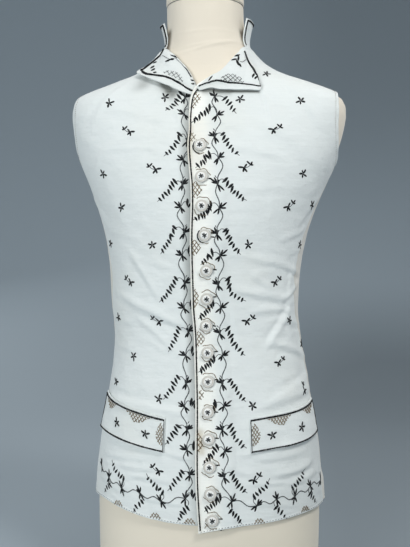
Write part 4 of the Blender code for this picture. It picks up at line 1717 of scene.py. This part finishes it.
@dataclass
class Lapel(Piece):
    """The turned-back top of a front: a soft roll, a pale band outside its dark line, and small motifs."""

    strips: Curve  # its break and its edge, strip by strip
    outer: Offset  # how the front's outer face lies
    lines: tuple[Array, Array]  # flat places of its dark lines
    net: Array  # the lattice's corners
    net_width: float
    leaves: Array  # foot, tip and width of each
    stems: Sequence[Points]
    break_line: Points
    stand_off: float  # how far its edge stands away
    length: float = 112
    breadth: float = 48
    lower_strips: float = 5.0

    def surface(self, down: Array, across: Array, lift: Array) -> Array:
        """Points over the lapel's inner face at shares down its break and across to its edge.

        Args:
            down: shares down the break.
            across: shares out to the edge.
            lift: how far out from the cloth.

        Returns:
            The points.
        """
        at = down * self.strips.last
        read = {name: self.strips.at(name, at) for name in self.strips.columns}
        degrees = read["break_degrees"] * (1 - across) + read["edge_degrees"] * across
        height = read["break_height"] * (1 - across) + read["edge_height"] * across
        swell = np.sqrt(np.clip(np.sin(np.pi * down), 0, 1))
        roll = 3.2 * np.sin(np.pi * np.minimum(across / 0.62, 1.0))
        lie = self.outer(degrees, height) + LAPEL_GAP + (roll + self.stand_off * ease_in(across)) * swell
        return FORM.lay(degrees, FORM.row(height), lie + lift)

    def build(self, material: Material) -> Object:
        """The lapel's shell.

        Args:
            material: the cloth.

        Returns:
            The object.
        """
        v = spread(self.length, 1.8, 0.8)
        across, down = np.meshgrid(spread(self.breadth, 1.6, 0.7), v)
        plain = self.surface(down, across, np.full(down.shape, CLOTH))
        lower = v <= self.lower_strips / self.strips.last
        lift = trim(plain, (plain[~lower, -1], plain[lower, -1]), band=3.0)
        outer = self.surface(down, across, CLOTH + lift)
        return self.cloth(outer, self.surface(down, across, 0 * down), material)

    def chart(self, flat: Array, lift: Array) -> Array:
        """Points over the lapel, x down its break in hundredths and z from the break in millimetres.

        Args:
            flat: flat places.
            lift: how far out from the cloth.

        Returns:
            The points.
        """
        down = np.clip(flat[:, 0] / 100, 0.0, 1.0)
        wide = self.surface(down, 0 * down + 1, 0 * down) - self.surface(down, 0 * down, 0 * down)
        across = flat[:, 1] / np.maximum(np.linalg.norm(wide, axis=-1), 1.0)
        return self.surface(down, np.clip(across, 0, 1), CLOTH + 0.3 + lift)

    def embroider(self, palette: Sequence[Material]) -> Object:
        """The dark line inside its edges, a lattice above it and leafy marks.

        Args:
            palette: the threads' materials.

        Returns:
            The object.
        """
        work = Stitching(self.seed)
        for path in self.lines:
            work.line(path, 1.0, 2.6, Thread.SILK, 14.0, 2.0)
        work.lattice(self.net, 4.6, (10.0, 92.0), self.net_width, Thread.STEM)
        for x, z, tip_x, tip_z, width in self.leaves:
            turn = math.degrees(math.atan2(tip_z - z, tip_x - x))
            work.leaf(x, z, turn, math.hypot(tip_x - x, tip_z - z) + 1.2, width + 0.7, blunt=0.65)
        for path in self.stems:
            work.line(path, 1.4, 0.95, Thread.STEM)
        if self.break_line:
            work.line(self.break_line, 1.4, 2.0, Thread.SILK)
        return self.sewn(work, palette)


@dataclass
class Flap(Piece):
    """A pocket flap: a pale band above its dark top line, lattice borders and two sprigs."""

    corners: Curve  # its top edge
    outer: Offset  # how the front's outer face lies
    flare: float  # how much longer its far end is
    rise: float = 47.3
    nets: tuple[str, ...] = (  # the corners of its lattices
        "3.5 12, 9 7, 17 22, 14 34, 4 40",
        "26 5, 64 5, 50 17, 40 15",
        "86 5, 112 5, 104 15, 94 13",
    )

    def __post_init__(self) -> None:
        """Measures the flap's top edge."""
        top = self.surface(np.linspace(0, 1, 60), np.zeros(60), np.zeros(60))
        self.length = float(np.linalg.norm(np.diff(top, axis=0), axis=1).sum())

    def surface(self, run: Array, drop: Array, lift: Array) -> Array:
        """Points over the flap's inner face at shares along its top and a drop in millimetres.

        Args:
            run: shares along the top.
            drop: drops in millimetres.
            lift: how far out from the cloth.

        Returns:
            The points.
        """
        at = run * self.corners.last
        degrees = self.corners.at("degrees", at)
        height = self.corners.at("height", at) - drop * (1 + self.flare * run)
        hang = 0.7 * (drop / self.rise) ** 2 + 0.35 * np.sin(run * 17.0) * (drop / self.rise)
        lie = self.outer(degrees, height) + LAYER_GAP + hang
        return FORM.lay(degrees, FORM.row(height), lie + lift)

    def build(self, material: Material) -> Object:
        """The flap's shell.

        Args:
            material: the cloth.

        Returns:
            The object.
        """
        run, drop = np.meshgrid(spread(self.length, 2.0, 0.8), (1 - spread(self.rise, 1.8, 0.8)) * self.rise)
        plain = self.surface(run, drop, np.full(run.shape, CLOTH))
        lift = trim(plain, (plain[:, 0], plain[:, -1], plain[0], plain[-1]), band=2.6)
        outer = self.surface(run, drop, CLOTH + lift)
        return self.cloth(outer, self.surface(run, drop, 0 * run), material)

    def chart(self, flat: Array, lift: Array) -> Array:
        """Points over the flap, x from its inner end and z down from its top."""
        return self.surface(flat[:, 0] / self.length, flat[:, 1], CLOTH + RAISED_LIFT + lift)

    def embroider(self, palette: Sequence[Material]) -> Object:
        """The dark lines round it, lattice under its top and by its inner end, and its motifs.

        Args:
            palette: the threads' materials.

        Returns:
            The object.
        """
        work = Stitching(self.seed)
        far, low = self.length - 1.8, self.rise - 1.5
        work.bound(((1.5, 3.4), (self.length - 1.5, 3.4)), 2.5)
        work.bound(((1.8, 4.5), (1.8, 20), (1.8, low - 1), (3, low), (40, low), (80, low), (far, low)), 2.2)
        work.bound(((far, low), (far, 5)), 1.6)
        for net in self.nets:
            work.lattice(rows(net), 3.8)
        work.sprig(32, 28, 200, 0)
        work.sprig(80, 27, 150, 0)
        return self.sewn(work, palette)


BUTTONS = rows(  # degrees and height
    """-0.5 664.5, 1.4 622, 2.1 583, 4.6 543.5, 6.5 495, 7 455.5, 5.6 418, 5.4 380, 5 339.5, 4.5 298,
    4.9 261, 5.7 223, 6.4 187, 8 151"""
)


@dataclass
class Button:
    """A cloth-covered button: a padded rim, a gathered dome, a small dark flower and painted shade round its rim."""

    number: int
    degrees: float
    height: float
    sides: int = 48
    shank: float = 0.5  # between its seat and the front
    crown: float = 5.45
    profile = rows(  # radius and rise
        """0 0, 2.4 0, 2.5 1.6, 7.6 2.1, 8.3 2.5, 8.6 3.1, 8.5 3.7, 8 4.15, 7.3 4.25, 6.8 4, 6.4 3.95,
        5.6 4.45, 4.2 4.95, 2.6 5.3, 1.2 5.42"""
    )

    def name(self) -> str:
        """The button's name."""
        return f"covered_button_{self.number:02d}"

    def frame(self) -> tuple[Array, Array]:
        """The button's seat, and its axes as columns.

        Returns:
            The seat, and the axes.
        """
        degrees, height = np.array([self.degrees]), np.array([self.height])
        row = FORM.row(height)
        up = FORM.normal(degrees, row)[0]
        side = unit(np.cross((0.0, 0.0, 1.0), up))
        seat = FORM.lay(degrees, row, left_outer(degrees, height) + self.shank)[0]
        return seat, np.stack((side, np.cross(up, side), up), axis=1)

    def build(self, material: Material) -> Object:
        """The button's body, turned from its profile, its rim gathered.

        Args:
            material: the cloth.

        Returns:
            The object.
        """
        seat, axes = self.frame()
        turn = np.linspace(0, math.tau, self.sides, endpoint=False)
        rings = []
        for k, (radius, rise) in enumerate(self.profile[1:]):
            gather = 1 + (0.008 * np.sin(turn * 16 + self.number) if 3 <= k <= 10 else 0 * turn)
            lift = rise + (0.05 * np.sin(turn * 12 + 2 * self.number) if k >= 9 else 0 * turn)
            around = radius * gather
            rings.append(np.stack((around * np.cos(turn), around * np.sin(turn), lift), axis=1))
        points = np.concatenate((*rings, [(0, 0, 0), (0, 0, self.crown)]))
        faces = turned_faces(len(rings), self.sides, len(points) - 2, len(points) - 1)
        reach = np.hypot(points[:, 0], points[:, 1])
        # painted shade: the shade wash darkens the rim's outer slope all round, most at the lower left, away from the
        # key light
        low_left = np.clip(-(points[:, 0] * 0.8 + points[:, 1] * 0.6) / 8.0, 0, 1)
        rim = ease_in((reach - 7.2) / 1.2)
        # the warm wash: a tan ring in the groove between rim and dome, and a darker rim slope that is painted shade
        warmth = (0.75 * bell((reach - 6.7) / 0.8) + 0.4 * rim) * (points[:, 2] > 2.2)
        washes = {"warmth": warmth, "shade": rim * (0.15 + 0.6 * low_left)}
        made = add_mesh(self.name(), seat + points @ axes.T, faces, [material], **washes)
        return dress(made, f"button_{self.number:02d}", "button_cloth")

    def chart(self, flat: Array, lift: Array) -> Array:
        """Points over the button's dome, in millimetres from its middle.

        Args:
            flat: flat places.
            lift: how far out from the dome.

        Returns:
            The points.
        """
        seat, axes = self.frame()
        radius, rise = self.profile[::-1][:12].T
        dome = np.interp(np.hypot(flat[:, 0], flat[:, 1]), radius, rise)
        return seat + np.stack((flat[:, 0], flat[:, 1], dome + 0.06 + lift), axis=1) @ axes.T

    def embroider(self, palette: Sequence[Material]) -> Object:
        """The flower on the dome and the ring of small stitches inside the rim.

        Args:
            palette: the threads' materials.

        Returns:
            The object.
        """
        work = Stitching(60 + self.number)
        for k in range(6):
            thread = Thread.SILK if k % 3 == 1 else Thread.STEM
            work.leaf(0, 0, 23.0 * self.number + 60 * k, 2.9 + 0.6 * (k % 2), 1.9, thread, off=0.3)
        ring = np.radians(np.linspace(0, 360, 33))
        work.line(np.stack((5.9 * np.cos(ring), 5.9 * np.sin(ring)), axis=1), 0, 0.4, Thread.WHITE, 30.0, 1.0)
        return dress(work.lay_on(f"{self.name()}_flower", self.chart, palette), "", "button_cloth")


@dataclass
class DressForm:
    """The limbless form: smooth stretched jersey with a seamed cap on its neck, and painted shade on the neck inside
    the collar's ends.
    """

    name: str = "jersey_form"
    sides: int = 176
    cap: float = 886.0
    top: float = 940.0
    # from and to heights and their step, of its rings between the sections
    rings: tuple = ((0, 800, 12.0), (800, 850, 1.6), (850, 880, 4.0), (880, 893, 0.8), (893, 938, 3.0))

    def relief(self, degrees: Array, height: Array) -> Array:
        """The cap's seam, and the slack folds of the jersey across the neck.

        Args:
            degrees: angles round the form.
            height: heights.

        Returns:
            How far the surface moves out.
        """
        seam = -1.1 * bell((height - self.cap) / 1.5) + 0.9 * ease_in((height - self.cap) / 3)
        seam = seam * (1 - ease_in((height - 925) / 12))
        turn = from_front(degrees)
        folds = 0.0
        for tilt, level, size in ((0.20, 815.5, 0.95), (0.11, 820, 0.5), (0.0, 839, 0.3)):
            beside = height - level - tilt * turn - 1.2 * np.sin(turn / 17)
            folds = folds + size * bell(beside / 2.2) * np.exp(-(((turn - 10) / 50) ** 4))
        return seam + folds

    def chart(self, flat: Array, lift: Array) -> Array:
        """Points along the cap's seam, x in degrees."""
        return FORM.lay(flat[:, 0], FORM.row(flat[:, 1]), -0.5 + lift)

    def build(self, material: Material, thread: Material) -> list[Object]:
        """The form and the corded seam of its cap.

        Args:
            material: the jersey.
            thread: the cord.

        Returns:
            The form and its seam.
        """
        heights = [FORM.sections.columns["height"], *(np.arange(*ring) for ring in self.rings)]
        turns = np.linspace(0, 360, self.sides, endpoint=False)
        degrees, height = np.meshgrid(turns, np.unique(np.concatenate(heights)))
        points = FORM.lay(degrees, FORM.row(height), self.relief(degrees, height))
        points[0, :, 2] = 0.0
        count = points.shape[0] * self.sides
        faces = turned_faces(len(points), self.sides, count, count + 1)
        points = np.concatenate((points.reshape(-1, 3), [(1.5, 0, 0), (-4.0, -9.0, self.top)]))
        # painted shade: a band on the neck just inside each end of the collar, where the collar shadows it
        turn = from_front(degrees)
        aside = (np.abs(turn) - np.where(turn < 0, 64.0, 71.0)) / 9.5
        beside = np.exp(-(aside**4)) * ease_in((height - 802) / 8) * (1 - ease_in((height - 842) / 10))
        shade = np.concatenate((beside.ravel(), (0.0, 0.0)))
        made = add_mesh(self.name, points, faces, [material], shade=shade)
        work = Stitching(5)
        path = np.stack((np.linspace(0, 360, 190), np.full(190, self.cap)), axis=1)
        work.line(path, 0, 0.9, Thread.SILK, 0.0, 1.4)
        seam = work.lay_on(f"{self.name}_cap_seam", self.chart, [thread])
        return [dress(made, "dress_form", "jersey"), dress(seam, "", "jersey")]


# ---------------------------------------------------------------- the studio
@dataclass
class Studio:
    """A round pale sweep, soft lights and the camera."""

    floor_reach: float = 1.9
    sweep: float = 2.8
    wall: float = 4.2
    sides: int = 96
    azimuth: float = 5.5
    distance: float = 1.4
    slide: float = -0.0045
    eye: float = 0.49
    focal_pixels: float = 933.33
    image_height: float = 547.0
    aim: float = 0.48  # the height that the lamps point at
    # name, place, size, watts, colour, beam in degrees
    lamps: tuple = (
        ("key", (0.92, -1.36, 1.98), 0.5, 20.5, (1.0, 0.985, 0.96), 180.0),
        ("fill", (-1.05, -2.5, 0.68), 1.1, 14.8, (0.985, 0.99, 0.975), 110.0),
        ("top", (0.0, 0.2, 2.9), 2.0, 14, (1.0, 1.0, 1.0), 180.0),
        ("behind_left", (-1.8, 2.2, 1.6), 1.6, 12, (1.0, 1.0, 1.0), 180.0),
        ("behind_right", (2.1, 0.6, 1.2), 1.6, 15, (1.0, 1.0, 1.0), 180.0),
    )

    def stage(self) -> None:
        """The floor and its sweep, a shallow open bowl."""
        bend = np.linspace(0, math.pi / 2, 14)[1:]
        radii = [0.4, 0.8, self.floor_reach, *(self.floor_reach + self.sweep * np.sin(bend))]
        rises = [0.0, 0.0, 0.0, *(self.sweep * (1 - np.cos(bend))), self.wall]
        turn = np.linspace(0, math.tau, self.sides, endpoint=False)
        points = [(0.0, 0.0, 0.0)]
        for radius, rise in zip([*radii, self.floor_reach + self.sweep], rises):
            points.extend((radius * math.cos(t), radius * math.sin(t), rise) for t in turn)
        ways = [(1 + i, 1 + (i + 1) % self.sides) for i in range(self.sides)]
        faces = [(0, i, n) for i, n in ways]
        for a in range(0, (len(rises) - 1) * self.sides, self.sides):
            b = a + self.sides
            faces.extend((a + i, b + i, b + n, a + n) for i, n in ways)
        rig.stage(add_mesh("floor_and_sweep", np.array(points) / MM, faces, [PAPER.make()]))

    def lights(self) -> None:
        """A key from the upper right, a broad fill from the left, a top light and soft light behind."""
        for name, place, size, watts, colour, beam in self.lamps:
            data = bpy.data.lights.new(name, "AREA")
            data.size, data.energy, data.color, data.spread = size, watts, colour, math.radians(beam)
            made = bpy.data.objects.new(name, data)
            made.visible_camera = False
            made.location = place
            way = Vector((0.0, 0.0, self.aim)) - Vector(place)
            made.rotation_euler = way.to_track_quat("-Z", "Y").to_euler()
            bpy.context.scene.collection.objects.link(made)
        world = bpy.data.worlds.new("soft_sky")
        world.use_nodes = True
        sky = world.node_tree.nodes["Background"].inputs
        sky["Color"].default_value, sky["Strength"].default_value = (0.94, 0.97, 1.0, 1.0), 0.30
        bpy.context.scene.world = world

    def camera(self) -> None:
        """The camera, at the height of the waist and a little to the wearer's left."""
        a = math.radians(self.azimuth)
        back, right = Vector((math.sin(a), -math.cos(a), 0.0)), Vector((math.cos(a), math.sin(a), 0.0))
        data = bpy.data.cameras.new("camera")
        data.sensor_fit, data.sensor_height = "VERTICAL", 24.0
        data.lens = 24.0 * self.focal_pixels / self.image_height
        made = bpy.data.objects.new("camera", data)
        made.location = back * self.distance + right * self.slide + Vector((0, 0, self.eye))
        made.rotation_mode = "QUATERNION"
        made.rotation_quaternion = (-back).to_track_quat("-Z", "Y")
        bpy.context.scene.collection.objects.link(made)
        bpy.context.scene.camera = made

    def build(self) -> None:
        """The whole studio."""
        self.stage()
        self.lights()
        self.camera()
        bpy.context.scene.view_settings.view_transform = "Standard"


# ---------------------------------------------------------------- making it
def paths(text: str) -> Array:
    """A table of three flat places in each row."""
    return rows(text).reshape(-1, 3, 2)


def fronts() -> tuple[Front, Front]:
    """The two fronts, the right one under the left.

    Returns:
        The right front and the left.
    """
    nodes = rows(
        """29.5 736.5, 37 711.5, 33.5 673, 40 646, 41.5 612.5, 44 581, 38 547, 41 515.5, 36.5 477, 39 442.5,
        35 409.5, 42 375.5, 43 337.5, 48 305, 44.5 273.5, 46 245.5, 42.5 211.5"""
    )
    right = Front(
        "front_right", "right_front", -1, (0.32, 0.70, 0.147), 11,
        RIGHT_EDGE, RIGHT_CLOSING, RIGHT_HEM, under,
        nodes,
        paths(
            """35 742 42.5 730 57 720, 43.5 681 50.5 667 62.5 655, 52 616 60.5 603.5 72.5 592.5,
            51.5 553 58.5 537 68.5 521.5, 49.5 483 58 467.5 70 453.5, 48 413.5 55.5 398.5 63.5 384.5,
            54.5 344.5 63.5 330 73.5 317.5, 57 278 64 266 72.5 255.5, 52.5 215 61 204 70.5 192.5"""
        ),
        np.array((*nodes[1::2], (50.5, 179)))[:, None] + rows("-9.8 6.4, -12.5 3.4, -15 1"),
        rows(
            """50.5 179 100 0 1.15, 85.2 174 240 1 0, 116.8 182 70 0 1, 147.2 186 250 1 0,
            173.1 197 90 0 0.8, 197 210 60 0 0"""
        ),
        rows(
            """141.2 732 160 0, 115.8 688 40 1, 79.1 634 30 1, 164.8 632 60 0, 136 584 150 0, 172 534 40 0,
            84.8 530 20 0, 122.2 478 45 1, 155 427 70 0, 77.7 423 20 1, 124 372 130 0, 166 332 40 0,
            84.7 314 110 0, 86.8 215 50 1, 59.1 738 130 0"""
        ),
        paths("14 147 24 152 18 161"),
        ((46, 148), (95, 153), (155, 164)),
        (),
        # painted shade below the right lapel: its cast shadow and the shaded shoulder beside it
        rows("-40.5 765.5 -28 742.5 7.5 0.85, -53 771 -51 757 8.5 0.45, -38 759 -32.5 748 4 0.45"),
        2.5,
    )
    left = Front(
        "front_left", "left_front", 1, (0.30, 0.70, 0.142), 12,
        LEFT_EDGE, LEFT_CLOSING, LEFT_HEM, over,
        rows(
            """34 736.5, 40 708, 37 677.5, 42.5 648, 37.5 612.5, 40 580, 37 545.5, 42 515.5, 37.5 475.5,
            41 443, 36 407.5, 39.5 376, 37.5 337.5, 40 306.5, 37 274, 41 244.5, 39.5 210"""
        ),
        paths(
            """49 734.5 58.5 721 62.5 715.5, 47.5 681 55 667.5 67 655, 48.5 617.5 60 601.5 72.5 592.5,
            49 550.5 57.5 532.5 67 520, 51 483 57 462 71 453.5, 48 412.5 56 392.5 67 379,
            49 342 57.5 328 67 315.5, 48 279 55.5 262 66.5 251.5, 51 215 59 198 67 190"""
        ),
        paths(
            """28.5 718.5 18.5 708.5 8 700, 31 652.5 22.5 644 13.5 636.5, 27.5 585.5 21.5 573 8 565,
            30.5 519 23.5 511.5 18 505.5, 30 448.5 21 438.5 12 430, 27.5 371 18.5 362 9 354.5,
            28 310.5 26 303.5 25 299.5, 31.5 249.5 22.5 238.5 13.5 228.5, 33 181.5 23.5 172.5 14 164.5"""
        ),
        rows(
            """49 176.5 60 0 1.15, 84 170 40 1 0, 113.1 177 100 0 1, 142.2 178 250 1 0, 173 188 110 0 0.9,
            203 192 60 0 0"""
        ),
        rows(
            """105.9 775 70 0, 70.2 733 60 0, 156.2 731 200 0, 118 688 20 1, 76.3 635 30 1, 162.9 630 45 0,
            140.2 584 60 1, 193.2 590 130 0, 82 530 100 0, 179.2 532 80 0, 123 478 40 1, 76.7 424 20 1,
            149.5 423 150 0, 122 364 30 1, 186 386 70 0, 172.8 321 200 1, 80.5 306 120 0, 81.2 205 60 1"""
        ),
        paths(
            """2.5 713 15 733 6.5 744.5, 3.5 668 13 677 3.5 686, 2 591 16.5 604 3 617.5,
            2.5 512 15.5 527.5 3 539.5, 3 440 11 456.5 4.5 472, 4 386.5 15.5 399 5 412,
            5 311.5 13.5 321.5 5.5 331, 4 239.5 11 256 2.5 273.5, 9 139 20 146 12 158"""
        ),
        ((86, 148), (160, 158)),
        rows("-8.5 648 -9 690 6 0.3, -1.5 640 -2 694 15 0.2, 0 243 -1 270 5 0.62"),
        # painted shade: a dark shadow line under the left lapel, softer shade below it, and shade over the hip
        rows("-6 745.8 44 744.2 2.3 1, 1 743.5 24 743 5 0.4, 62 170 70 250 40 0.15"),
        0.0,
    )
    return right, left


def trimmings() -> list[Lapel | Flap | Collar]:
    """The collar, lapels and flaps.

    Returns:
        The pieces, in order.
    """
    strips, corners = "break_degrees break_height edge_degrees edge_height", "degrees height"
    left_strips = Curve(
        strips,
        """-6.5 750 -3.5 744, -1 757 7 747, 5 764 17 746, 11.5 771 28 745.5, 18.5 778 38.5 745,
        23.8 785 45.4 744.5, 28.8 792 46.8 754, 35.2 799 48.4 770, 42.6 806 51 788, 52.5 813 54.5 804""",
    )
    right_strips = Curve(
        strips,
        """-8 754 -11.5 739.5, -10.5 762 -19 742.5, -13.4 771 -28.5 749, -16.6 779 -39 757.5,
        -21 787 -50.5 766, -26.6 794 -62.5 777, -34 802 -62.8 787, -42 808 -62 798, -50 813 -61 806,
        -55.5 816 -60.5 811""",
    )
    left_lines = (
        rows(
            """3 2.5, 12.5 6, 16.5 8.5, 21 10, 24 11.5, 28 13, 31.5 17.5, 35 22.5, 38 27, 41 30.5,
            44.5 35.5, 48 41, 52 47, 55.5 52, 58 57, 60.5 60.5, 63 62.5"""
        ),
        rows(
            """63 62.5, 68 58, 71 53.5, 74.5 48, 78 41, 82.5 34, 86 26, 89.5 19, 93 11.5, 95 5"""
        ),
    )
    right_lines = (
        rows(
            """0 10.5, 6.5 14.5, 12.5 18, 19 20.5, 24.5 23.5, 28.5 27, 33 30.5, 36 33.5, 39 37.5, 41.5 42.5,
            44 47.5, 46.5 53, 48.5 57.5, 52 61.5, 57 62.5"""
        ),
        rows(
            """57 62.5, 58 59.5, 60.5 55.5, 65 49, 69.5 41.5, 73.5 33, 77.5 24, 82 15, 87.5 7.5, 98 1.5"""
        ),
    )
    left_flap = Curve(corners, "33.5 289, 46 292.8, 58 296, 70 301, 81 308")
    right_flap = Curve(corners, "-27.2 288.4, -40 293.6, -54 301, -66 308.5, -78 316.5")
    return [
        Collar("collar", "stand_collar", 1, (0.27, 0.045, 0.0115), 31),
        Lapel(
            "lapel_left", "left_lapel", 1, (0.115, 0.062, 0.0042), 21,
            left_strips, left_outer, left_lines,
            rows("31 16, 40.5 13, 48.5 18, 54 26.5, 56 35.5, 53 44, 42.5 29.5"),
            0.95,
            rows(
                """76.5 6 72.5 16 3.6, 79 0.5 84 4.5 3, 83.5 4.5 77.5 9.5 3, 71 1 77 4.5 2.6,
                74.5 14 72 21 2.6, 68.5 45.5 74 43 2.2, 68.5 49 72.5 47 2.2, 18 6.5 28.5 3.5 2.4"""
            ),
            (((78, 13), (80.5, 16.5), (87, 16.5)),),
            (),
            1.6,
        ),
        Lapel(
            "lapel_right", "right_lapel", -1, (0.115, 0.066, 0.0041), 22,
            right_strips, right_outer, right_lines,
            rows("46 38.5, 46.5 32, 42 24.5, 34.5 17, 26 15.5, 19 16.5, 30 24, 39.5 32"),
            0.75,
            rows(
                """71 5 65.5 2 3.4, 62.5 14 62.5 7 3.4, 62.5 10.5 61.5 21.5 2.6, 67.5 0.8 63.5 0.8 2,
                15 5 10 1 2.2, 9.5 7 4.5 1.5 2.2, 57 50.5 61.5 41 2.4, 52 52 54.5 46 2.4,
                69 37.5 70.5 32 2.2, 48.5 50 48 46.5 2"""
            ),
            (((76, 15), (67, 14), (62.5, 12.5)), ((64, 3), (55, 2.5), (43.5, 3))),
            ((42.5, 2.5), (35.5, 2), (27, 2.5), (18.5, 2)),
            3.4,
        ),
        Flap("flap_left", "left_flap", 1, (0.138, 0.0475, 0.0065), 23, left_flap, left_outer, 0.0),
        Flap("flap_right", "right_flap", -1, (0.144, 0.051, 0.0070), 24, right_flap, right_outer, 0.075),
    ]


def report(*pieces: Object) -> tuple[Object, ...]:
    """Logs pieces and their faces.

    Args:
        pieces: the objects.

    Returns:
        The same objects.
    """
    for piece in pieces:
        LOG.info("%s: %d faces", piece.name, len(piece.data.polygons))
    return pieces


def main() -> None:
    """Builds every piece in order and writes the two boxes."""
    logging.basicConfig(level=logging.INFO, format="%(message)s")
    cotton, palette = COTTON.make(), [yarn.make() for yarn in YARNS]
    Studio().build()
    report(*DressForm().build(JERSEY.make(), palette[1]))
    for front, below in zip(fronts(), ("dress_form", "front_right")):
        cloth, work = report(front.build(cotton), front.embroider(palette))
        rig.sheet(cloth, front.cut[:2], "stretched", [below], front.cut[2], [work])
    back = Back()
    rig.sheet(*report(back.build(LINEN.make())), back.cut[:2], "stretched", ["dress_form"], back.cut[2])
    for piece in trimmings():
        cloth, work = report(piece.build(cotton), piece.embroider(palette))
        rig.sheet(cloth, piece.cut[:2], "folded", ["front_left", "front_right"], piece.cut[2], [work])
    button_linen = BUTTON_LINEN.make()
    for number, (degrees, height) in enumerate(BUTTONS, 1):
        button = Button(number, degrees, height)
        report(button.build(button_linen), button.embroider(palette))
    boxes = {"cad": [list(corner) for corner in CAD_BOX], "visual": [list(corner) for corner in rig.bounds()]}
    with open("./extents.json", "w") as out:
        json.dump(boxes, out)


if __name__ == "__main__":
    main()
